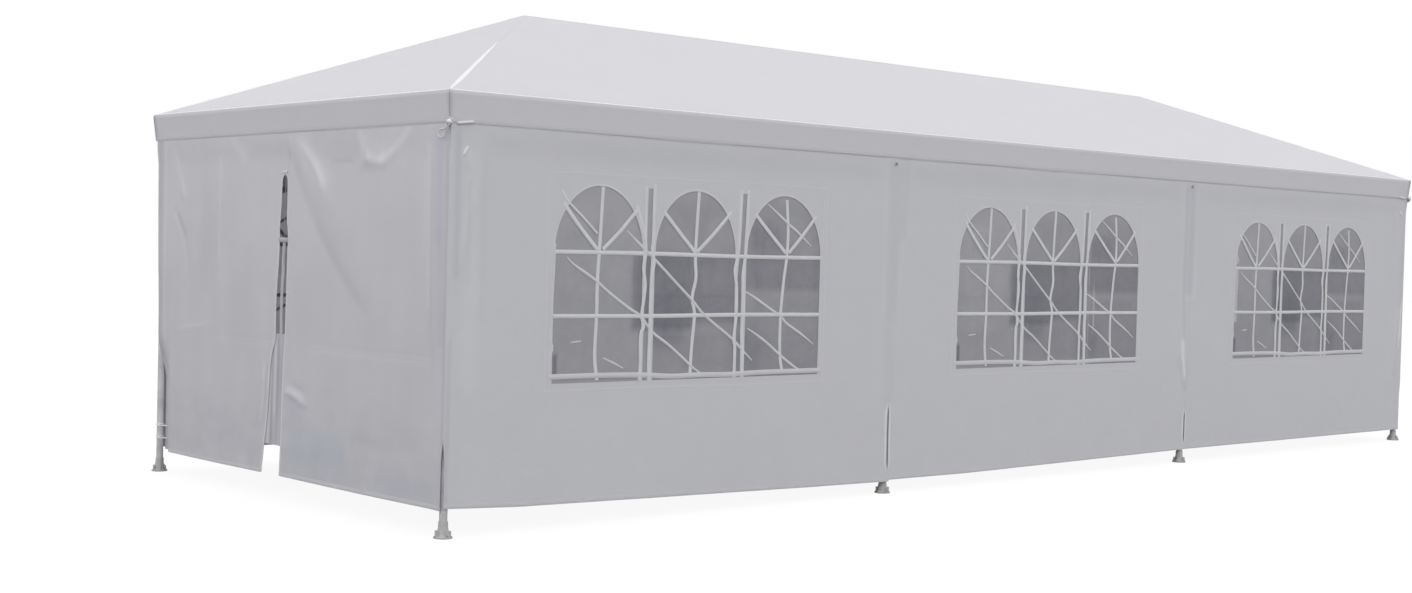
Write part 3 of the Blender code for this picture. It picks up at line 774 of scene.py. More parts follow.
def make_materials(colours):
    """Builds every material of the tent."""
    make_weave()
    make_stitches()
    make_ground_darkening()
    make_wear()
    wall = colours.wall
    cloth_material("Roof cloth", colours.roof, 0.75, 0.6, 0.0, gloss=0.18)
    cloth_material("Wall cloth", tinted(wall, (0.993, 1.004, 1.002)), 0.66, 0.8, 0.12)
    # The end walls' strong darkening near the ground is painted shade, laid in dust-like patches.
    cloth_material("End wall cloth", wall, 0.66, 1.6, 0.75, 0.009)
    # A dark copy of the wall cloth, laid behind the slits at the mid legs as painted shade.
    cloth_material("Leg slit shade cloth", shaded(wall, 0.55), 0.7, 1.0, 0.2)
    # The guard strip's cloth is the wall cloth made darker: partly painted shade of the slit's recess.
    cloth_material("Door guard shaded cloth", shaded(wall, 0.80), 0.7, 1.4, 0.2)
    tape_material("Window trim", shaded(wall, 1.07), 0.6)
    tape_material("Wall hem", shaded(wall, 1.01), 0.6)
    tape_material("Door edge tape", shaded(wall, 1.13), 0.6)
    tape_material("Valance seam", shaded(wall, 0.76), 0.7)
    tape_material("Hem tape", colours.tape, 0.6)
    # The near-white roof seam colour is partly a painted highlight on the lower hips and along the eave.
    tape_material("Roof seam highlight tape", colours.seam, 0.5)
    tape_material("Valance hem", shaded(colours.roof, 1.02), 0.6)
    tape_material("Window bar tape", colours.bar, 0.5)
    film_material("Window film", colours.film, colours.film_shade_colour, 0.86, 0.16)
    # The crease material's pale colour is a painted glint of the film's folds.
    film_material("Film crease glint", shaded(colours.bar, 0.90), shaded(colours.film, 1.2), 0.95, 0.3)
    coated_material("White coated steel", colours.steel, 0.35, 0.1, 0.5, 0.4)
    coated_material("Foot plastic", shaded(colours.foot, 1.12), 0.45, 0.0, 0.9, 0.9)
    coated_material("Ball plastic", colours.ball, 0.25, 0.0, 0.1, 0.0)
    coated_material("Elastic cord", colours.ball, 0.7, 0.0, 0.2, 0.0)
    coated_material("Door zip", colours.zip, 0.45, 0.0, 0.3, 0.3)


# Surfaces.


def path_gap(along, height, path):
    """Gives the distance from a point to a broken line."""
    here = Vector((along, height))
    nearest = 1e9
    for start, end in zip(path, path[1:]):
        a = Vector(start)
        run = Vector(end) - a
        share = min(1.0, max(0.0, (here - a).dot(run) / run.length_squared))
        nearest = min(nearest, (here - a - run * share).length)
    return nearest


def path_field(table, along, height):
    """Adds up what the marks of a table put at one place, each fading with its distance."""
    total = 0.0
    for path, amount, width in table:
        reach = width * 2.2
        if not min(a for a, _ in path) - reach < along < max(a for a, _ in path) + reach:
            continue
        if not min(b for _, b in path) - reach < height < max(b for _, b in path) + reach:
            continue
        total += amount * math.exp(-(path_gap(along, height, path) / width) ** 2)
    return total


def mark_cloth(piece, side, mark, value):
    """Writes a mark such as painted shading, tint or film depth on each point of a piece, from -1 to 1."""
    marks = piece.data.attributes.new(mark, "FLOAT", "POINT")
    nx, ny = OUTWARD[side]
    for spot in piece.data.vertices:
        along = spot.co.y * nx - spot.co.x * ny
        marks.data[spot.index].value = max(-1.0, min(1.0, value(along, spot.co.z)))


def under_valance(height):
    """Gives 0 on the open wall and 1 where the valance covers it."""
    return ease(height, 1.74, 1.88)


def leg_bulge(gap, height):
    """Gives how far a leg behind the cloth pushes it out."""
    half = 0.022 + 0.075 * ease(height, 0.95, 1.85)
    return 0.007 * math.exp(-(gap / half) ** 2) * (0.35 + 0.65 * ease(height, 0.9, 1.6))


def corner_pull(out, top, gap):
    """Gives how far the cloth is drawn to its place at a corner leg."""
    return (CORNER_STAND + (VALANCE_REST - CORNER_STAND) * top - out) * ease(gap, 0.03, -0.02)


def side_relief(side, along, height):
    """Gives how far a long wall stands out from its plane."""
    seed = 3.1 if side == "front" else 8.7
    rest = 1.0 - ease(height, 1.80, 1.95)
    out = 0.0016 * ripple(along, height, 1.3, seed) + 0.0008 * ripple(along, height, 4.0, seed + 1)
    gap = min(abs(abs(along) - leg) for leg in (BAY / 2, LEG_X))
    out += leg_bulge(gap, height)
    hem = ease(height, 0.35, 0.06)
    out += 0.004 * hem * ripple(along, 0.0, 5.0, seed + 2)
    out += path_field(SIDE_FOLDS, along, height)
    top = under_valance(height)
    out = (max(-0.004, out) * (0.35 + 0.65 * rest) + 0.0005) * (1.0 - top) + VALANCE_REST * top
    return out + corner_pull(out, top, LEG_X - abs(along))


def end_relief(side, along, height):
    """Gives how far an end wall stands out from its plane; low at the back it is tucked inside its leg."""
    seed = 12.3 if side == "left" else 17.9
    out = 0.003 * ripple(along, height, 1.1, seed) + 0.0012 * ripple(along, height, 3.7, seed + 1)
    out += 0.55 * path_field(END_FOLDS, along, height)
    gap = LEG_Y - abs(along)
    out += leg_bulge(gap, height) * 0.8
    low = ease(height, 0.75, 0.2)
    out += 0.004 * low * ripple(along, height * 0.5, 4.5, seed + 2)
    top = under_valance(height)
    out = (max(-0.008, min(0.016, out)) + 0.001) * (1.0 - top) + VALANCE_REST * top
    out += corner_pull(out, top, gap)
    return out - 0.053 * ease(height, 0.80, 0.52) * ease(along, -1.27, -1.40)


def on_long_wall(side, middle=0.0):
    """Gives the function that lays trims on a long wall, counted along from a given middle."""
    def lay(along, height, lift):
        relief = side_relief(side, middle + along, height)
        return on_side(side, middle + along, SIDE_OUT + relief + lift, height)
    return lay


def on_end_wall(side):
    """Gives the function that lays trims on an end wall."""
    def lay(along, height, lift):
        relief = end_relief(side, along, height)
        return on_end(side, along, END_OUT + relief + lift, height)
    return lay


# Long walls and their windows.


def side_hem(side, along):
    """Gives the height of a long wall's lower edge."""
    return between(along if side == "front" else -along, FRONT_HEM)


def arch_line(along):
    """Gives the height where the cloth starts above a window, measured from the window's middle."""
    for centre in LITE_CENTRES:
        share = (along - centre) / LITE_HALF
        if abs(share) < 1.0:
            return SPRING + ARCH_RISE * math.sqrt(1.0 - share * share)
    return SPRING


def lite_columns(centre):
    """Columns across one light, closer together near its sides."""
    return [centre - LITE_HALF * math.cos(math.pi * i / 20) for i in range(21)]


def wall_columns(left, right):
    """Columns across one bay: closest by the legs, and with one at each side of every light and slot."""
    first = LITE_CENTRES[0] - LITE_HALF
    across = runs(steps(left, -1.40, 0.012), steps(-1.40, first, 0.028), lite_columns(LITE_CENTRES[0]))
    for slot, centre in zip(SLOT_CENTRES, LITE_CENTRES[1:]):
        across += [slot - SLOT_HALF, slot + SLOT_HALF] + lite_columns(centre)
    return runs(across, steps(-first, 1.40, 0.028), steps(1.40, right, 0.012))


def slot_lean(along, height):
    """Gives how far a divider's slot leans away from upright."""
    if abs(abs(along) - 0.314) > SLOT_HALF + 0.001:
        return 0.0
    if along < 0:
        return between(height, ((0.69, -0.010), (1.10, -0.008), (1.32, 0.0), (1.645, 0.004)))
    return between(height, ((0.69, -0.002), (0.90, -0.008), (1.20, -0.008), (1.32, 0.004), (1.645, 0.020)))


def leg_lap(height, leg):
    """Gives how far a bay's edge laps over the middle of a mid leg; low down it stands back instead."""
    top = 0.58 if leg < 0 else 0.44
    opening = ease(height, 0.08, 0.17) * ease(height, top, top - 0.14)
    return 0.014 - 0.0205 * opening


def corner_fold(side, height):
    """Gives how far a long wall's edge reaches past the middle of its corner leg."""
    back = 0.010 * ease(height, 0.46, 0.34) if side == "front" else 0.032 * ease(height, 1.88, 1.80)
    return CORNER_STAND - 0.0004 - back


def in_window(spot):
    """Says whether a place on a wall's map lies in a light or in a divider's slot."""
    in_lite = any(abs(spot.x - centre) < LITE_HALF for centre in LITE_CENTRES) and SILL < spot.y < SPRING
    in_slot = any(abs(spot.x - slot) < SLOT_HALF for slot in SLOT_CENTRES) and SILL < spot.y < ARCH_TOP
    return in_lite or in_slot


def build_side_wall(side, bay, name):
    """Makes one bay of a long wall, with its window openings cut."""
    middle = (bay - 1) * BAY
    left = -BAY / 2 if bay else LEG_X - WALL_END - BAY / 2
    right = BAY / 2 if bay < 2 else WALL_END - LEG_X + BAY / 2

    def place(along, height):
        near_left = max(0.0, 1.0 - (along - left) / 0.10)
        near_right = max(0.0, 1.0 - (right - along) / 0.10)
        lap_left = leg_lap(height, middle + left)
        lap_right = leg_lap(height, middle + right)
        fold = corner_fold(side, height)
        shift = near_right * (lap_right if bay < 2 else fold) - near_left * (lap_left if bay else fold)
        shift += slot_lean(along, height) * ease(height, 0.6, SILL) * ease(height, 1.75, ARCH_TOP)
        out = side_relief(side, middle + along, height)
        if lap_right > 0.0 and bay < 2:
            out += 0.0016 * near_right
        if lap_left > 0.0 and bay:
            out -= 0.0012 * near_left
        return on_side(side, middle + along + shift, SIDE_OUT + out, height)

    def lower(along, share):
        hem = side_hem(side, middle + along)
        return place(along, hem + (SILL - hem) * share)

    def upper(along, share):
        foot = arch_line(along)
        return place(along, foot + (WALL_TOP - foot) * share)

    bm = new_shape()
    across = wall_columns(left, right)
    turn = (ARCH_TOP - SPRING) / (WALL_TOP - SPRING)
    add_grid(bm, across, steps(0.0, 1.0, 0.04), lower, lambda a, b: (a, SILL * b))
    add_grid(bm, across, steps(SILL, SPRING, 0.03), place)
    add_grid(bm, across, runs(steps(0.0, turn, 0.04), steps(turn, 1.0, 0.04)), upper,
             lambda a, b: (a, SPRING + (WALL_TOP - SPRING) * b))
    bmesh.ops.remove_doubles(bm, verts=bm.verts, dist=MERGE)
    cut = []
    cloth_map = bm.loops.layers.uv[CLOTH_MAP]
    for face in bm.faces:
        total = sum((loop[cloth_map].uv for loop in face.loops), Vector((0.0, 0.0)))
        if in_window(total / len(face.loops)):
            cut.append(face)
    bmesh.ops.delete(bm, geom=cut, context="FACES")
    piece = finish_piece(name, bm, "Wall cloth", WALL_CLOTH)
    # Painted shade and painted highlights by the legs and corners, from SIDE_SHADES.
    mark_cloth(piece, side, "painted_shading_and_tone", lambda along, height: path_field(SIDE_SHADES, along, height))
    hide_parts(side + "_wall_" + bay_name(side, bay))
    return piece


def painted_film_shade(along, height):
    """Gives how dark the film is at one place, from 0 to 1: random haze, and painted shade mostly of the dim
    inside seen through it.
    """
    depth = 0.10 + 0.05 * ripple(along, height, 3.0, 2.0) + 0.04 * ripple(along, height * 0.3, 30.0, 5.0)
    for centre, level, half, tall, soft, amount in PAINTED_FILM_PATCHES:
        inside = ease(abs(along - centre), half + soft, half - soft)
        inside *= ease(abs(height - level), tall + soft, tall - soft)
        depth += amount * inside * (1.0 - max(0.0, depth) * 0.6)
    return min(1.0, max(0.0, depth))


def build_film(side, bay, name, place):
    """Makes the clear film behind a window."""
    middle = (bay - 1) * BAY
    bm = new_shape()
    add_grid(bm, steps(-0.923, 0.923, 0.02), steps(0.68, 1.665, 0.02),
             lambda a, b: place(a, b, -WALL_CLOTH - FILM_GAP + 0.0006 * ripple(a, b, 6.0, 4.0)))
    film = finish_piece(name + "_film", bm, "Window film")
    mark_cloth(film, side, "depth", lambda along, height: painted_film_shade(along - middle, height) + BAY_DEPTH[bay])
    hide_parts(side + "_window_" + bay_name(side, bay))
    return film


def build_bars(name, place):
    """Makes the tapes that cross a window and the strips at its dividers."""
    wide = bpy.context.scene.marquee_sizes.bar_width
    bars = new_shape()
    for paths, width, lift, spacing, rise in (
            (CROSS_BARS, wide, 0.0022, 0.025, -0.0004),
            (UPRIGHT_BARS, wide, 0.0018, 0.02, -0.001),
            (FAN_BARS, wide, 0.0020, 0.02, 0.0003),
            (THIN_BARS, 0.012, 0.0016, 0.02, 0.0003),
            (DIVIDER_STRIPS, 0.021, 0.0020, 0.015, 0.0004)):
        for path in paths:
            add_ribbon(bars, path, width, lift, place, spacing, rise)
    return finish_piece(name + "_bars", bars, "Window bar tape", TAPE)


def build_window_trims(name, place):
    """Makes the tapes round the arches, along the sill, at the sides and round the patch of film."""
    trims = new_shape()
    wide = LITE_HALF + 0.003
    tall = ARCH_RISE + 0.003
    for centre in LITE_CENTRES:
        arc = []
        for i in range(25):
            angle = math.pi * i / 24
            arc.append((centre + wide * math.cos(angle), SPRING + tall * math.sin(angle)))
        add_ribbon(trims, arc, 0.010, 0.0010, place, 0.02, 0.0003)
    add_ribbon(trims, SILL_TAPE, 0.026, 0.0020, place, 0.02, 0.0004)
    for start, end in zip(PATCH_LINE, PATCH_LINE[1:]):
        if math.dist(start, end) > 0.2:
            add_ribbon(trims, (start, end), 0.006, 0.0003, place, 0.03, 0.0001)
    add_ribbon(trims, LEFT_FRAME, 0.012, 0.0016, place, 0.02, 0.0004)
    add_ribbon(trims, RIGHT_FRAME, 0.011, 0.0016, place, 0.02, 0.0004)
    return finish_piece(name + "_frame_tape", trims, "Window trim", TAPE)


def build_creases(name, place):
    """Makes the sharp folds that a packed film keeps; their pale colour is a painted glint along each fold.
    """
    height = bpy.context.scene.marquee_sizes.crease_height
    creases = new_shape()
    for path in FILM_CREASES:
        add_ribbon(creases, path, 0.016, height, place, 0.012, -0.0012, taper=0.12)
    return finish_piece(name + "_creases", creases, "Film crease glint", 0.0003)


def build_window(side, bay, name):
    """Makes one window: its film, its folds, its bars, strips and frame tapes."""
    place = on_long_wall(side, (bay - 1) * BAY)
    film = build_film(side, bay, name, place)
    bars = build_bars(name, place)
    trims = build_window_trims(name, place)
    creases = build_creases(name, place)
    side + "_wall_cloth_" + bay_name(side, bay)


def build_wall_tapes(side):
    """Makes a long wall's hem tape, the tapes at its mid legs, the dark bands of painted shade behind the
    slits there, and its corner tape.
    """
    lay = on_long_wall(side)
    hems = new_shape()
    inset = 0.006 if side == "front" else 0.036
    for bay in range(3):
        start = -WALL_END + inset if bay == 0 else (bay - 1.5) * BAY + 0.006
        end = WALL_END - inset if bay == 2 else (bay - 0.5) * BAY - 0.006
        line = [(along, side_hem(side, along) + 0.012) for along in steps(start, end, 0.1)]
        add_ribbon(hems, line, 0.022, 0.0010, lay, 0.03, 0.0001)
    finish_piece(side + "_wall_hem_tape", hems, "Wall hem", TAPE)

    edges = new_shape()
    slit_shades = new_shape()
    # The tapes along the bays' edges at the mid legs are pale: partly real hem tape, partly painted highlight
    # on the hems.
    for leg, top in ((-BAY / 2, 0.54), (BAY / 2, 0.40)):
        for inward in (-0.010, 0.010):
            rail = [(leg + inward - way(inward) * leg_lap(level, leg), level)
                    for level in steps(0.12, top, 0.05)]
            add_ribbon(edges, rail, 0.012, 0.0022, lay, 0.02, 0.0006, taper=0.1)
        # Painted shade: a dark band behind the slit at each mid leg.
        add_ribbon(slit_shades, ((leg, 0.95), (leg, 0.14)), 0.075, 0.001, lay, 0.03, -0.0055)
    # The corner tape is a painted highlight on the wall's turned hem, laid as a pale tape.
    corner = 1.0 if side == "front" else -1.0
    rail = ((corner * 4.458, 1.12), (corner * 4.446, 0.95), (corner * 4.430, 0.72))
    add_ribbon(edges, rail, 0.024, 0.004, lay, 0.02, 0.0008, taper=0.1)
    finish_piece(side + "_wall_edge_highlight_tape", edges, "Hem tape", TAPE)
    finish_piece(side + "_leg_backing", slit_shades, "Leg slit shade cloth", 0.0006)


# End walls and their doors.


def build_end_cloth(side):
    """Makes one end wall: two door flaps that are one cloth above the slit."""
    def place(along, height):
        lower_edge = END_HEM + 0.006 * ripple(along, 0.0, 2.2, 6.0)
        height = lower_edge + (height - END_HEM) * (WALL_TOP - lower_edge) / (WALL_TOP - END_HEM)
        reach = max(0.0, 1.0 - (END_WALL_HALF - abs(along)) / 0.30)
        wrap = SIDE_OUT + CORNER_STAND - 0.0018 - END_WALL_HALF
        if along < 0:
            wrap -= 0.010 * ease(height, 1.86, 1.74) + 0.036 * ease(height, 1.80, 0.75)
        else:
            wrap += VALANCE_REST * under_valance(height) - 0.014 * ease(height, 0.46, 0.34)
        shift = reach * wrap * way(along)
        return on_end(side, along + shift, END_OUT + end_relief(side, along + shift, height), height)

    def slit_edge(edge, height):
        return between(height, edge) if height < SLIT_TOP else -0.013

    def back_half(share, height):
        edge = slit_edge(BACK_FLAP_EDGE, height)
        return place(-END_WALL_HALF + (edge + END_WALL_HALF) * share, height)

    def front_half(share, height):
        edge = slit_edge(FRONT_FLAP_EDGE, height)
        return place(edge + (END_WALL_HALF - edge) * share, height)

    slit_end = (1.645, 1.652, 1.66, 1.668, 1.674, SLIT_TOP)
    levels = runs(steps(END_HEM, slit_end[0], 0.014), slit_end, steps(SLIT_TOP, WALL_TOP, 0.014))
    count = 116
    shares = [i / count for i in range(count + 1)]
    bm = new_shape()
    add_grid(bm, shares, levels, back_half, lambda a, b: (END_WALL_HALF * (a - 1.0), b))
    add_grid(bm, shares, levels, front_half, lambda a, b: (END_WALL_HALF * a, b))
    flip = side == "right"
    piece = finish_piece(side + "_end_wall_cloth", bm, "End wall cloth", WALL_CLOTH, flip)
    turn = -1.0 if flip else 1.0

    # Painted shading: the marks of END_SHADES, made lighter towards the top, with random mottling.
    def painted_shading_and_tone(along, height):
        total = path_field(END_SHADES, along * turn, height) - 0.16 * ease(height, 0.9, 1.6)
        total += 0.07 * ripple(along * 5.0, height, 1.6, 33.0) + 0.08 * ripple(along, height, 3.1, 35.0)
        return total + 0.10 * ease(height, 0.75, 0.35) * ripple(along, height * 2.0, 7.0, 37.0)

    mark_cloth(piece, side, "painted_shading_and_tone", painted_shading_and_tone)
    mark_cloth(piece, side, "tint", lambda along, height: path_field(END_TINTS, along * turn, height))
    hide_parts("end_wall_" + side)
    return piece


def build_inner_flap(side):
    """Makes the cloth that shows behind the foot of a door's slit."""
    def place(along, height):
        out = END_OUT + end_relief(side, along, height) - 0.0030
        out += 0.0012 * ripple(along, height * 0.12, 26.0, 9.0)
        return on_end(side, along, out, height + 0.006 * ripple(along, 0.0, 9.0, 3.0))

    flip = side == "right"
    turn = -1.0 if flip else 1.0

    # Painted shade: the whole flap is darkened as if shaded behind the slit, with random streaks and the
    # lines of INNER_FLAP_SHADES.
    def painted_shading_and_tone(along, height):
        total = 0.34 + 0.5 * ripple(along, height * 0.08, 26.0, 9.0)
        return total + path_field(INNER_FLAP_SHADES, along * turn, height)

    bm = new_shape()
    add_grid(bm, steps(-0.26, 0.12, 0.008), steps(0.283, 0.86, 0.025), place)
    inner = finish_piece(side + "_door_inner_flap", bm, "Wall cloth", WALL_CLOTH, flip)
    mark_cloth(inner, side, "painted_shading_and_tone", painted_shading_and_tone)
    return inner


def build_guard_strip(side):
    """Makes the strip behind a door's zip and the tab at the strip's top, both in wall cloth darkened partly
    as painted shade.
    """
    def behind(along, height, lift):
        out = END_OUT + end_relief(side, along, height) - 0.0042 + lift
        return on_end(side, along + 0.004 * ripple(height, 0.0, 14.0, 3.0), out, height)

    def before(along, height, lift):
        return on_end(side, along, END_OUT + 0.001 + lift, height)

    strip = new_shape()
    add_ribbon(strip, ((-0.019, 1.335), (-0.024, 1.20), (-0.033, 1.02), (-0.031, 0.84)), 0.028, 0.002, behind)
    add_ribbon(strip, ((-0.066, 1.348), (-0.02, 1.345), (0.03, 1.347)), 0.022, 0.003, before, 0.01)
    return finish_piece(side + "_door_guard_strip", strip, "Door guard shaded cloth", 0.0006,
                        side == "right")


def build_door_tape(side):
    """Makes the tapes along the two edges of a door's slit and the bar tack at its top."""
    lay = on_end_wall(side)
    tapes = new_shape()
    for edge, shift in ((BACK_FLAP_EDGE, -0.007), (FRONT_FLAP_EDGE, 0.007)):
        path = [(between(level, edge) + shift, level) for level in steps(1.655, 0.14, 0.07)]
        add_ribbon(tapes, path, 0.014, 0.0013, lay, 0.025, 0.0002)
    add_ribbon(tapes, ((-0.035, 1.692), (0.012, 1.694)), 0.018, 0.003, lay, 0.01, 0.0006)
    return finish_piece(side + "_door_edge_tape", tapes, "Door edge tape", TAPE,
                        side == "right")


def build_end_hem(side):
    """Makes the hem tape along the foot of an end wall, parted at the slit."""
    hems = new_shape()
    for path in (((-1.415, 0.139), (-1.2, 0.137), (-0.7, 0.136), (-0.21, 0.138)),
                 ((-0.01, 0.138), (0.7, 0.136), (1.455, 0.139))):
        add_ribbon(hems, path, 0.022, 0.0011, on_end_wall(side), 0.03, 0.0001)
    return finish_piece(side + "_end_wall_hem", hems, "Wall hem", TAPE, side == "right")


def build_zip(side):
    """Makes a door's zip, midway between the slit's edges."""
    path = []
    for level in steps(1.68, 0.83, 0.05):
        along = between(level, BACK_FLAP_EDGE) * 0.5 + between(level, FRONT_FLAP_EDGE) * 0.5
        path.append(on_end(side, along + 0.004, END_OUT - 0.004, level))
    zips = new_shape()
    add_rod(zips, path, 0.0022, 6)
    return finish_piece(side + "_door_zip", zips, "Door zip")


def build_end_wall(side):
    """Makes one end wall with its door's flap, strip, tapes, hem and zip."""
    piece = build_end_cloth(side)
    inner = build_inner_flap(side)
    strip_piece = build_guard_strip(side)
    tape_piece = build_door_tape(side)
    hem_piece = build_end_hem(side)
    zip_piece = build_zip(side)


# Roof.


def roof_height(x, y):
    """Gives the height of the roof's upper face."""
    reach = min(HALF_LENGTH - abs(x), HALF_WIDTH - abs(y))
    rise = EAVE_TOP + EAVE_SLOPE * reach
    sag_size = bpy.context.scene.marquee_sizes.roof_sag
    up = (reach - 0.10) / (HALF_WIDTH - 0.20)
    if 0.0 < up < 1.0:
        lift = math.sin(math.pi * up) ** 1.5
        if HALF_LENGTH - abs(x) < HALF_WIDTH - abs(y):
            half = HALF_WIDTH - reach
            across = math.cos(math.pi / 2 * min(1.0, abs(y) / half))
        elif abs(x) < BAY / 2:
            across = math.cos(math.pi * x / BAY)
        else:
            across = math.sin(math.pi * (abs(x) - BAY / 2) / (HALF_LENGTH - reach - BAY / 2))
        rise -= sag_size * lift * max(0.0, across)
    return rise


def valance_lean(x, y):
    """Gives how far the valance's lower edge hangs in to rest on a long wall."""
    return SIDE_LEAN - (0.0009 * ease(x, -3.9, -3.2) if y < 0 else 0.002)


def side_wave(x, y):
    """Gives the slight wave of the valance along a long wall."""
    return 0.0006 * ripple(x, 1.0 + (y > 0), 3.0, 2.0)


def end_wave(x, y):
    """Gives the slight wave of the valance along an end wall."""
    return 0.0006 * ripple(y, 4.0 + (x > 0), 3.0, 2.0)


def drop_valance(bm, rows=7):
    """Turns the roof's edge down all round, in rows."""
    rim = [edge for edge in bm.edges if edge.is_boundary]
    for row in range(rows):
        grown = bmesh.ops.extrude_edge_only(bm, edges=rim)["geom"]
        for vert in grown:
            if isinstance(vert, bmesh.types.BMVert):
                end = HALF_LENGTH - abs(vert.co.x) < 0.02
                along = vert.co.y if end else vert.co.x
                hang = VALANCE_DROP + 0.004 * ripple(along, 2.0 if end else 1.0, 1.6, vert.co.y > 0)
                vert.co.z = EAVE_TOP - hang * ((row + 1) / rows)
        rim = [item for item in grown if isinstance(item, bmesh.types.BMEdge) and item.is_boundary]


def lean_valance(vert):
    """Lets a point of the valance hang in towards the wall below it."""
    depth = (EAVE_TOP - vert.co.z) / VALANCE_DROP
    if depth <= 0.01:
        return
    x, y = vert.co.x, vert.co.y
    if HALF_WIDTH - abs(y) < 0.001:
        wave = side_wave(x, y) * min(1.0, (HALF_LENGTH - abs(x)) / 0.15)
        vert.co.y += way(y) * (wave - valance_lean(x, y)) * depth
    if HALF_LENGTH - abs(x) < 0.001:
        wave = end_wave(x, y) * min(1.0, (HALF_WIDTH - abs(y)) / 0.15)
        vert.co.x += way(x) * (wave - END_LEAN) * depth


def map_roof(bm):
    """Lays the cloth's map flat on the roof and, apart from it, along the valance."""
    cloth_map = bm.loops.layers.uv[CLOTH_MAP]
    for face in bm.faces:
        for loop in face.loops:
            spot = loop.vert.co
            if face.normal.z > 0.5:
                loop[cloth_map].uv = (spot.x, spot.y)
            elif abs(face.normal.y) > 0.5:
                loop[cloth_map].uv = (spot.x, spot.z - 8.0)
            else:
                loop[cloth_map].uv = (spot.y, spot.z + 8.0)


def build_roof():
    """Makes the roof cover: one cloth over four slopes, with its valance turned down all round."""
    bm = new_shape()
    made = bmesh.ops.create_grid(bm, x_segments=180, y_segments=60, size=0.5)["verts"]
    bmesh.ops.scale(bm, vec=(2 * HALF_LENGTH, 2 * HALF_WIDTH, 1.0), verts=made)
    for sx in (-1, 1):
        for sy in (-1, 1):
            bmesh.ops.bisect_plane(bm, geom=bm.verts[:] + bm.edges[:] + bm.faces[:], dist=MERGE,
                                   plane_co=(sx * RIDGE_HALF, 0.0, 0.0), plane_no=(sx, sy, 0.0))
    for vert in bm.verts:
        vert.co.z = roof_height(vert.co.x, vert.co.y)
    drop_valance(bm)
    for vert in bm.verts:
        lean_valance(vert)
    bm.normal_update()
    map_roof(bm)
    cover = finish_piece("roof_cover", bm, "Roof cloth", ROOF_CLOTH)

    # Painted highlight: the valance, which hangs in and faces a little downwards, is made lighter from just
    # below the eave down.
    def painted_shading_and_tone(along, height):
        return -0.22 * ease(height, EAVE_TOP - 0.002, EAVE_TOP - 0.03)

    mark_cloth(cover, "front", "painted_shading_and_tone", painted_shading_and_tone)
    return cover


def on_roof(x, y, lift):
    """Lays a puckered tape on the roof."""
    pucker = 0.75 + 0.25 * math.sin((x * 1.3 + y) * 120.0) + 0.2 * ripple(x, y, 9.0, 1.0)
    return Vector((x, y, roof_height(x, y) + lift * pucker))


def build_roof_seams():
    """Makes the tapes on the hips and the ridge, and the seams down the valance's corners; the hips' lower
    tapes are near white, partly as a painted highlight where the cloth is drawn tight.
    """
    seams = new_shape()
    quiet = new_shape()
    laces = new_shape()
    for sx in (-1, 1):
        for sy in (-1, 1):
            top = (sx * RIDGE_HALF, 0.0)
            foot = (sx * (HALF_LENGTH - 0.004), sy * (HALF_WIDTH - 0.004))
            part = (sx * (HALF_LENGTH - 0.88), sy * (HALF_WIDTH - 0.88))
            add_ribbon(quiet, (top, part), 0.014, 0.0014, on_roof, 0.012, 0.0002)
            add_ribbon(seams, (part, foot), 0.015, 0.0042, on_roof, 0.012, 0.0006, narrow=2.0, taper=0.25)
            corner = []
            for share in steps(0.04, 0.97, 0.05):
                x = sx * (HALF_LENGTH - END_LEAN * share + 0.0008)
                y = sy * (HALF_WIDTH - valance_lean(*foot) * share + 0.0008)
                corner.append(Vector((x, y, EAVE_TOP - VALANCE_DROP * share)))
            add_rod(laces, corner, 0.0020)
    add_ribbon(quiet, ((-RIDGE_HALF, 0.0), (RIDGE_HALF, 0.0)), 0.020, 0.002, on_roof, 0.012, 0.0002)
    return [finish_piece("hip_seam_highlight_tape", seams, "Roof seam highlight tape", TAPE),
            finish_piece("ridge_seam_tape", quiet, "Valance hem", TAPE),
            finish_piece("valance_corner_seams", laces, "Valance seam")]


def build_eave_trims():
    """Makes the piping along the eaves, whose near-white colour is partly a painted highlight, and the
    valance's hem tape.
    """
    piping = new_shape()
    hem = new_shape()
    for side in OUTWARD:
        long_side = side in LONG_SIDES
        half, out = (HALF_LENGTH, HALF_WIDTH) if long_side else (HALF_WIDTH, HALF_LENGTH)

        def on_eave(along, back, lift, side=side, out=out):
            spot = on_side(side, along, out - back, 0.0)
            tuck = 0.7 + 0.3 * math.sin(along * 110.0) + 0.3 * ripple(along, out, 14.0, 7.0)
            return Vector((spot.x, spot.y, roof_height(spot.x, spot.y) + lift * tuck))

        def on_valance(along, height, lift, side=side, out=out, long_side=long_side, half=half):
            x, y = on_side(side, along, out, 0.0).xy
            gap = min(1.0, (half - abs(along)) / 0.15)
            wave, lean = (side_wave(x, y), valance_lean(x, y)) if long_side else (end_wave(x, y), END_LEAN)
            depth = (EAVE_TOP - height) / VALANCE_DROP
            return on_side(side, along, out + (wave * gap - lean) * depth + lift, height)

        line = ((-half + 0.01, 0.0065), (half - 0.01, 0.0065))
        add_ribbon(piping, line, 0.012, 0.0030, on_eave, 0.014, 0.0004)
        line = [(along, VALANCE_BOTTOM + 0.0092) for along in steps(-half + 0.012, half - 0.012, 0.2)]
        add_ribbon(hem, line, 0.016, 0.0006, on_valance, 0.03, 0.0001)
    return [finish_piece("eave_piping", piping, "Roof seam highlight tape", TAPE),
            finish_piece("valance_hem_tape", hem, "Valance hem", 0.0004)]


# Feet and ties.

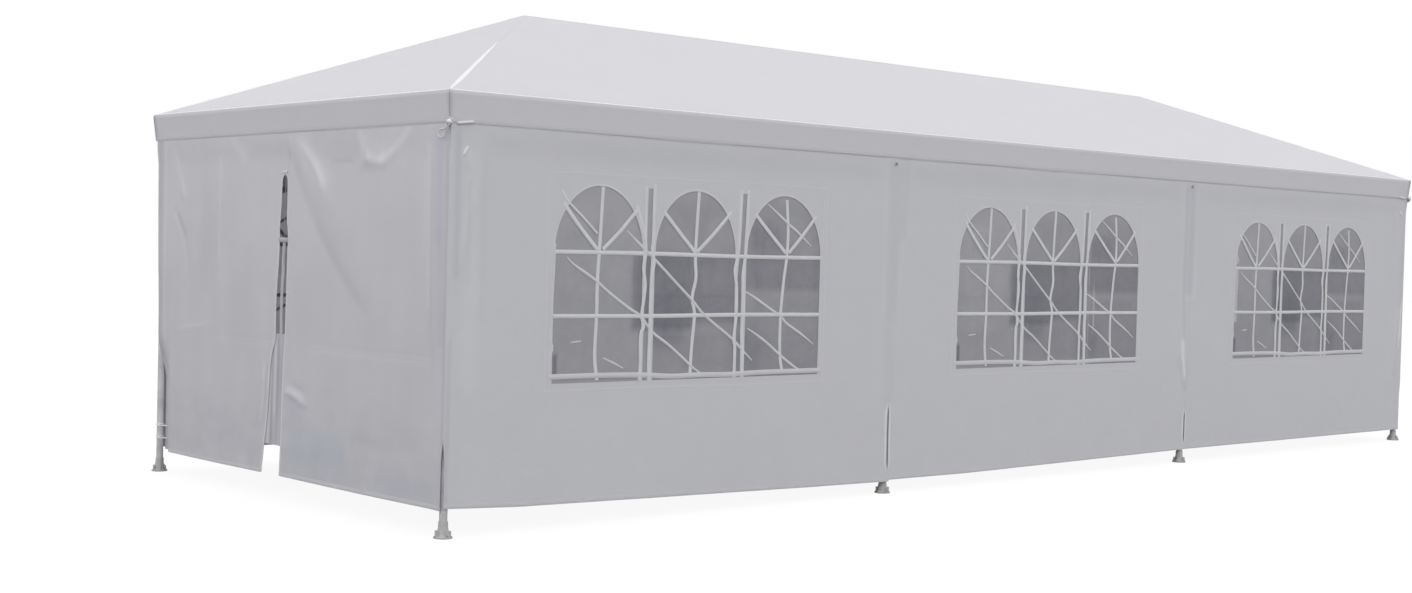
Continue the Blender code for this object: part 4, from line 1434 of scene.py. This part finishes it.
# Half outline of a moulded foot, as (radius, height): its sleeve, flared skirt and peg plate.
FOOT_OUTLINE = (
    (0.0197, 0.076), (0.0225, 0.076), (0.0228, 0.05), (0.0246, 0.043), (0.0296, 0.017), (0.0335, 0.0085),
    (0.0436, 0.0075), (0.0442, 0.005), (0.0440, 0.0), (0.0197, 0.0),
)
GUSSETS = 6
GUSSET_SIZE = (0.014, 0.0035, 0.028)
GUSSET_PLACE = (0.031, 0.0, 0.0205)
PEGS = 4
PEG_REACH = 0.0385


def build_foot(name, x, y):
    """Makes a moulded foot: a peg plate, a flared skirt, a sleeve, gussets and peg heads."""
    bm = new_shape()
    verts = [bm.verts.new((radius, 0.0, height)) for radius, height in FOOT_OUTLINE]
    edges = [bm.edges.new((a, b)) for a, b in zip(verts, verts[1:] + verts[:1])]
    bmesh.ops.spin(bm, geom=verts + edges, cent=(0, 0, 0), axis=(0, 0, 1), angle=2 * math.pi, steps=40,
                   use_merge=True, use_duplicate=False)
    bmesh.ops.remove_doubles(bm, verts=bm.verts, dist=MERGE)
    bmesh.ops.recalc_face_normals(bm, faces=bm.faces)
    for k in range(GUSSETS):
        turn = Matrix.Rotation(math.radians(360 // GUSSETS * k + 15), 3, "Z")
        gusset = bmesh.ops.create_cube(bm, size=1.0)["verts"]
        bmesh.ops.scale(bm, vec=GUSSET_SIZE, verts=gusset)
        bmesh.ops.translate(bm, vec=GUSSET_PLACE, verts=gusset)
        bmesh.ops.rotate(bm, cent=(0, 0, 0), matrix=turn, verts=gusset)
    for k in range(PEGS):
        angle = math.radians(360 // PEGS * k + 8)
        head = bmesh.ops.create_cone(bm, cap_ends=True, segments=14, radius1=0.0062, radius2=0.0052,
                                     depth=0.013)
        spot = (PEG_REACH * math.cos(angle), PEG_REACH * math.sin(angle), 0.0125)
        bmesh.ops.translate(bm, vec=spot, verts=head["verts"])
    bmesh.ops.translate(bm, vec=(x, y, 0.0), verts=bm.verts)
    foot = finish_piece(name + "_foot_moulding", bm, "Foot plastic")
    trim = foot.modifiers.new("Moulded edges", "BEVEL")
    trim.width = 0.0008
    trim.segments = 2
    trim.limit_method = "ANGLE"
    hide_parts("foot_" + name)


def build_feet():
    """Makes the eight feet."""
    for sy, row in ((-1, "front"), (1, "back")):
        for index, leg in enumerate(LEG_NAMES):
            build_foot(row + "_" + leg, -LEG_X + BAY * index, sy * LEG_Y)


def build_tie_ball(name, centre):
    """Makes a corner tie's ball with its seat, and the dark disc behind it that paints the shade round the
    ball.
    """
    bm = new_shape()
    add_ball(bm, centre, 0.0125, (1.0, 1.0, 0.93))
    seat = bmesh.ops.create_cone(bm, cap_ends=True, segments=16, radius1=0.0062, radius2=0.0048, depth=0.008)
    bmesh.ops.translate(bm, vec=centre - Vector((0.0, 0.0, 0.0135)), verts=seat["verts"])
    finish_piece(name + "_tie_ball", bm, "Ball plastic")
    # Painted shade: a dark disc behind the ball stands in for the shade round it.
    shade_disc = new_shape()
    inward = Vector((-0.007 * way(centre.x), -0.007 * way(centre.y), -0.005))
    add_ball(shade_disc, centre + inward, 0.0165, (0.7, 0.7, 1.0))
    finish_piece(name + "_tie_washer", shade_disc, "Door zip")


def build_tie_loop(name, centre, level, hang, middle, swing):
    """Makes a tie's elastic loop, which leaves the ball's seat and comes back to it."""
    path = [centre + Vector((0.0, 0.0, -0.015))]
    last = 22
    for k in range(last + 1):
        angle = math.radians(62 + 296 * k / last)
        across = middle + swing * 0.028 * math.cos(angle)
        height = level - 0.048 + 0.019 * math.sin(angle)
        path.append(hang(across, height, 0.0055 + 0.003 * math.sin(math.pi * k / last)))
    path.append(centre + Vector((0.0, 0.0, -0.017)))
    path = smooth_path(path, 0.006)
    loop = new_shape()
    add_rod(loop, path, 0.0022)
    loop_piece = finish_piece(name + "_tie_loop", loop, "Elastic cord")
    reach = sum((b - a).length for a, b in zip(path, path[1:]))
    tuple(path[0])
    [tuple(point) for point in path]


def build_tie_strap(name, lay, sign, level):
    """Makes a tie's flat toggle strap and the cloth tab below it."""
    strap = new_shape()
    toggle = ((sign * 4.448, level - 0.003), (sign * 4.352, level + 0.009))
    add_ribbon(strap, toggle, 0.015, 0.005, lay, 0.008, 0.0045, taper=0.006)
    tab = ((sign * 4.378, 1.792), (sign * 4.392, 1.770), (sign * 4.408, 1.748))
    add_ribbon(strap, tab, 0.020, 0.005, lay, 0.006, 0.001, taper=0.01)
    finish_piece(name + "_tie_strap", strap, "Hem tape", 0.0006)


def build_tie_knot(name, centre):
    """Makes the short ends of a tie's knot."""
    knot = new_shape()
    for turn, reach in ((200, 0.026), (150, 0.032), (105, 0.022), (250, 0.018)):
        aside = math.cos(math.radians(turn)) * reach
        up = math.sin(math.radians(turn)) * reach
        end = Vector((aside * 0.3 * way(centre.x), -aside * 0.6 * way(centre.y), up))
        bend = centre + end * 0.6 + Vector((0.0, 0.0, 0.003))
        add_rod(knot, smooth_path([centre + end * 0.2, bend, centre + end], 0.004), 0.0030)
    finish_piece(name + "_tie_knot", knot, "Elastic cord")


def build_pole_binding(name, row, sign):
    """Makes the cords that bind a wall's edge to its back corner leg."""
    leg = on_side(row, sign * LEG_X, LEG_Y, 0.0)
    end = way(leg.x)
    binding = new_shape()
    for height in (0.27, 0.20):
        ring = []
        for k in range(20):
            angle = math.pi * k / 10
            ring.append(Vector((leg.x + 0.0215 * math.cos(angle), LEG_Y + 0.0215 * math.sin(angle),
                                height + 0.002 * math.sin(k))))
        add_rod(binding, ring, 0.0040, loop=True)
        tail = ((end * 4.4715, 1.452, height), (end * 4.4790, 1.40, height - 0.004),
                (end * 4.4790, 1.30, height + 0.004))
        add_rod(binding, smooth_path(tail, 0.008), 0.0034)
    finish_piece(name + "_pole_binding", binding, "Elastic cord")


def build_corner_tie(name, row, sign):
    """Makes a ball tie under the valance's corner, with its elastic loop, toggle strap and cloth tab."""
    lay = on_long_wall(row)
    if row == "front":
        level = 1.895
        centre = on_side(row, sign * (END_OUT + 0.020), SIDE_OUT + 0.020, level)
        hang, middle, swing = on_end_wall("left" if sign < 0 else "right"), 1.43, 1.0
    else:
        level = 1.857
        centre = on_side(row, sign * 4.40, SIDE_OUT + 0.014, level)
        hang, middle, swing = lay, sign * 4.36, sign
    build_tie_ball(name, centre)
    build_tie_loop(name, centre, level, hang, middle, swing)
    build_tie_strap(name, lay, sign, level)
    build_tie_knot(name, centre)
    if row == "back":
        build_pole_binding(name, row, sign)


def build_eyelet(name, row, along):
    """Makes the eyelet and its small tie ball at a mid leg."""
    lay = on_long_wall(row)
    level = 1.862
    ring = []
    for k in range(24):
        angle = math.pi * k / 12
        ring.append(lay(along + 0.010 * math.cos(angle), level + 0.010 * math.sin(angle), 0.0065))
    bm = new_shape()
    add_rod(bm, ring, 0.0022, loop=True)
    finish_piece(name + "_eyelet", bm, "White coated steel")
    plug = new_shape()
    add_ball(plug, lay(along, level, 0.008), 0.0078, (1.0, 0.8, 1.0))
    finish_piece(name + "_tie_ball", plug, "Door zip")


def build_ties():
    """Makes the ties under the valance: a ball tie at each corner and an eyelet at each mid leg."""
    for sy, row in ((-1, "front"), (1, "back")):
        for index, leg in enumerate(LEG_NAMES):
            along = (-LEG_X + BAY * index) * -sy
            if leg.endswith("corner"):
                build_corner_tie(row + "_" + leg, row, way(along))
            else:
                build_eyelet(row + "_" + leg, row, along)


def build_frame_finish():
    """Gives the legs, rails, rafters and ridge their coated steel finish."""
    steel = material("White coated steel")
    for name, part in NODES.items():
        if name.startswith(("leg_", "eave_rail_", "ridge_", "hip_rafter_", "rafter_")):
            for held in part.material_slots:
                held.material = steel


# Stage.


def place_in_scene(name, data):
    """Adds an object to the scene."""
    made = bpy.data.objects.new(name, data)
    bpy.context.scene.collection.objects.link(made)
    return made


def build_floor():
    """Makes a pale floor that looks lit but throws little light back."""
    bm = bmesh.new()
    bmesh.ops.create_grid(bm, x_segments=8, y_segments=8, size=60.0)
    mesh = bpy.data.meshes.new("floor")
    bm.to_mesh(mesh)
    bm.free()
    floor = place_in_scene("floor", mesh)
    look = bpy.data.materials.new("Pale floor")
    look.use_nodes = True
    tree = look.node_tree
    tree.nodes.clear()
    dim = node(tree, "ShaderNodeEmission", {"Color": (0.97, 0.97, 1.0, 1.0), "Strength": 0.22})
    seen = node(tree, "ShaderNodeBsdfDiffuse", {"Color": (0.10, 0.10, 0.10, 1.0)})
    glow = node(tree, "ShaderNodeEmission", {"Color": (1.0, 1.0, 1.0, 1.0), "Strength": 0.92})
    both = node(tree, "ShaderNodeAddShader", {0: seen.outputs[0], 1: glow.outputs[0]})
    path = node(tree, "ShaderNodeLightPath").outputs["Is Camera Ray"]
    pick = node(tree, "ShaderNodeMixShader", {0: path, 1: dim.outputs[0], 2: both.outputs[0]})
    node(tree, "ShaderNodeOutputMaterial", {"Surface": pick.outputs[0]})
    mesh.materials.append(look)


def build_lights():
    """Makes an overcast sky and one soft lamp."""
    world = bpy.data.worlds.new("Overcast")
    world.use_nodes = True
    sky = world.node_tree.nodes["Background"].inputs
    sky["Color"].default_value = (1.0, 1.0, 1.0, 1.0)
    sky["Strength"].default_value = bpy.context.scene.marquee_sizes.sky_strength
    bpy.context.scene.world = world
    lamp = bpy.data.lights.new("soft_key", "SUN")
    lamp.energy = 0.35
    lamp.angle = math.radians(55)
    key = place_in_scene("soft_key", lamp)
    key.rotation_euler = (math.radians(48), 0.0, math.radians(-40))


def build_camera():
    """Makes the camera, level with a person's chest off the front left corner."""
    lens = bpy.data.cameras.new("view_camera")
    lens.sensor_fit = "HORIZONTAL"
    lens.sensor_width = CAMERA_SENSOR
    lens.lens = CAMERA_LENS
    lens.clip_end = 200.0
    turn = Matrix.Rotation(CAMERA_HEADING, 3, "Z") @ Matrix.Rotation(CAMERA_PITCH, 3, "X")
    turn = turn @ Matrix.Rotation(CAMERA_ROLL, 3, "Y")
    right, ahead, up = (turn @ Vector(axis) for axis in ((1, 0, 0), (0, 1, 0), (0, 0, 1)))
    pose = Matrix((right, up, -ahead)).transposed().to_4x4()
    pose.translation = CAMERA_PLACE
    camera = place_in_scene("view_camera", lens)
    camera.matrix_world = pose
    bpy.context.scene.camera = camera
    bpy.context.scene.view_settings.view_transform = "Standard"


def length_setting(name, description, default, lowest, highest):
    """A length that the sidebar shows."""
    return FloatProperty(name=name, description=description, default=default, min=lowest, max=highest,
                         unit="LENGTH")


def colour_setting(name, description, default):
    """A colour that the sidebar shows."""
    return FloatVectorProperty(name=name, description=description, default=default, min=0.0, max=1.0,
                               subtype="COLOR")


class MarqueeSizes(bpy.types.PropertyGroup):
    """Sizes of the cloth details and strength of the light."""

    roof_sag: length_setting("Roof sag", "How far the roof cloth hangs between its poles", 0.008, 0.0, 0.03)
    bar_width: length_setting("Window bar width", "Width of the tapes across a window", 0.021, 0.01, 0.05)
    crease_height: length_setting("Film fold height", "How far a fold in the window film stands up",
                                  0.0035, 0.0, 0.01)
    sky_strength: FloatProperty(name="Sky strength", description="Brightness of the overcast sky",
                                default=1.0, min=0.0, max=5.0)


class MarqueeColours(bpy.types.PropertyGroup):
    """Colours of the tent's materials."""

    roof: colour_setting("Roof cloth", "Colour of the roof cloth", (0.678, 0.673, 0.712))
    wall: colour_setting("Wall cloth", "Colour of the wall cloth", (0.69, 0.687, 0.724))
    # Near white: on the lower hips and the eave piping this colour is partly a painted highlight.
    seam: colour_setting("Roof seams", "Colour of the roof's seam tapes and piping", (0.95, 0.95, 0.97))
    tape: colour_setting("Hem tape", "Colour of hems and seam tapes", (0.86, 0.86, 0.89))
    bar: colour_setting("Window bars", "Colour of the window bars", (0.80, 0.805, 0.83))
    film: colour_setting("Film", "Colour of the window film", (0.470, 0.470, 0.497))
    # The dark film colour is the colour of painted shade: the dim inside seen through the film.
    film_shade_colour: colour_setting("Dark film", "Colour of the film's dark patches", (0.19, 0.19, 0.23))
    steel: colour_setting("Steel", "Colour of the coated poles", (0.74, 0.74, 0.75))
    foot: colour_setting("Feet", "Colour of the moulded feet", (0.60, 0.61, 0.62))
    ball: colour_setting("Ties", "Colour of the balls and loops", (0.86, 0.86, 0.86))
    zip: colour_setting("Zips", "Colour of the door zips", (0.35, 0.35, 0.37))


class MARQUEE_OT_stage(bpy.types.Operator):
    """Make the floor, sky, lamp and camera"""

    bl_idname = "marquee.stage"
    bl_label = "Stage"

    def execute(self, context):
        build_floor()
        build_lights()
        build_camera()
        return {"FINISHED"}


class MARQUEE_OT_materials(bpy.types.Operator):
    """Make the tent's materials"""

    bl_idname = "marquee.materials"
    bl_label = "Materials"

    def execute(self, context):
        make_materials(context.scene.marquee_colours)
        return {"FINISHED"}


class MARQUEE_OT_roof(bpy.types.Operator):
    """Make the roof cover with its seams and piping"""

    bl_idname = "marquee.roof"
    bl_label = "Roof cover"

    def execute(self, context):
        cover = build_roof()
        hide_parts("roof_front", "roof_back", "roof_left", "roof_right")
        trims = build_roof_seams() + build_eave_trims()
        return {"FINISHED"}


class MARQUEE_OT_side_walls(bpy.types.Operator):
    """Make the six bays of the long walls"""

    bl_idname = "marquee.side_walls"
    bl_label = "Long walls"

    def execute(self, context):
        for side in LONG_SIDES:
            for bay in range(3):
                piece = build_side_wall(side, bay, side + "_wall_cloth_" + bay_name(side, bay))
        for side in LONG_SIDES:
            build_wall_tapes(side)
        return {"FINISHED"}


class MARQUEE_OT_windows(bpy.types.Operator):
    """Make the six windows of film, bars and tapes"""

    bl_idname = "marquee.windows"
    bl_label = "Windows"

    def execute(self, context):
        for side in LONG_SIDES:
            for bay in range(3):
                build_window(side, bay, side + "_window_" + bay_name(side, bay) + "_unit")
        return {"FINISHED"}


class MARQUEE_OT_end_walls(bpy.types.Operator):
    """Make the two end walls with their doors"""

    bl_idname = "marquee.end_walls"
    bl_label = "End walls"

    def execute(self, context):
        build_end_wall("left")
        build_end_wall("right")
        return {"FINISHED"}


class MARQUEE_OT_feet(bpy.types.Operator):
    """Make the eight moulded feet"""

    bl_idname = "marquee.feet"
    bl_label = "Feet"

    def execute(self, context):
        build_feet()
        return {"FINISHED"}


class MARQUEE_OT_ties(bpy.types.Operator):
    """Make the ball ties at the legs"""

    bl_idname = "marquee.ties"
    bl_label = "Ties"

    def execute(self, context):
        build_ties()
        return {"FINISHED"}


class MARQUEE_OT_frame_finish(bpy.types.Operator):
    """Give the poles their coated steel finish"""

    bl_idname = "marquee.frame_finish"
    bl_label = "Frame finish"

    def execute(self, context):
        build_frame_finish()
        return {"FINISHED"}


STEPS = ("stage", "materials", "frame_finish", "roof", "side_walls", "windows", "end_walls", "ties", "feet")


class MARQUEE_PT_panel(bpy.types.Panel):
    """Lists the steps that dress the marquee"""

    bl_idname = "MARQUEE_PT_panel"
    bl_label = "Marquee tent"
    bl_space_type = "VIEW_3D"
    bl_region_type = "UI"
    bl_category = "Marquee"

    def draw(self, context):
        column = self.layout.column()
        for step in STEPS:
            column.operator("marquee." + step)
        for name in MarqueeSizes.__annotations__:
            column.prop(context.scene.marquee_sizes, name)
        for name in MarqueeColours.__annotations__:
            column.prop(context.scene.marquee_colours, name)


CLASSES = (
    MarqueeSizes, MarqueeColours, MARQUEE_OT_stage, MARQUEE_OT_materials, MARQUEE_OT_roof,
    MARQUEE_OT_side_walls, MARQUEE_OT_windows, MARQUEE_OT_end_walls, MARQUEE_OT_feet, MARQUEE_OT_ties,
    MARQUEE_OT_frame_finish, MARQUEE_PT_panel,
)


def register():
    for item in CLASSES:
        bpy.utils.register_class(item)
    bpy.types.Scene.marquee_sizes = PointerProperty(type=MarqueeSizes)
    bpy.types.Scene.marquee_colours = PointerProperty(type=MarqueeColours)


def unregister():
    del bpy.types.Scene.marquee_colours
    del bpy.types.Scene.marquee_sizes
    for item in reversed(CLASSES):
        bpy.utils.unregister_class(item)


def main():
    register()
    for step in STEPS:
        getattr(bpy.ops.marquee, step)()


if __name__ == "__main__":
    main()
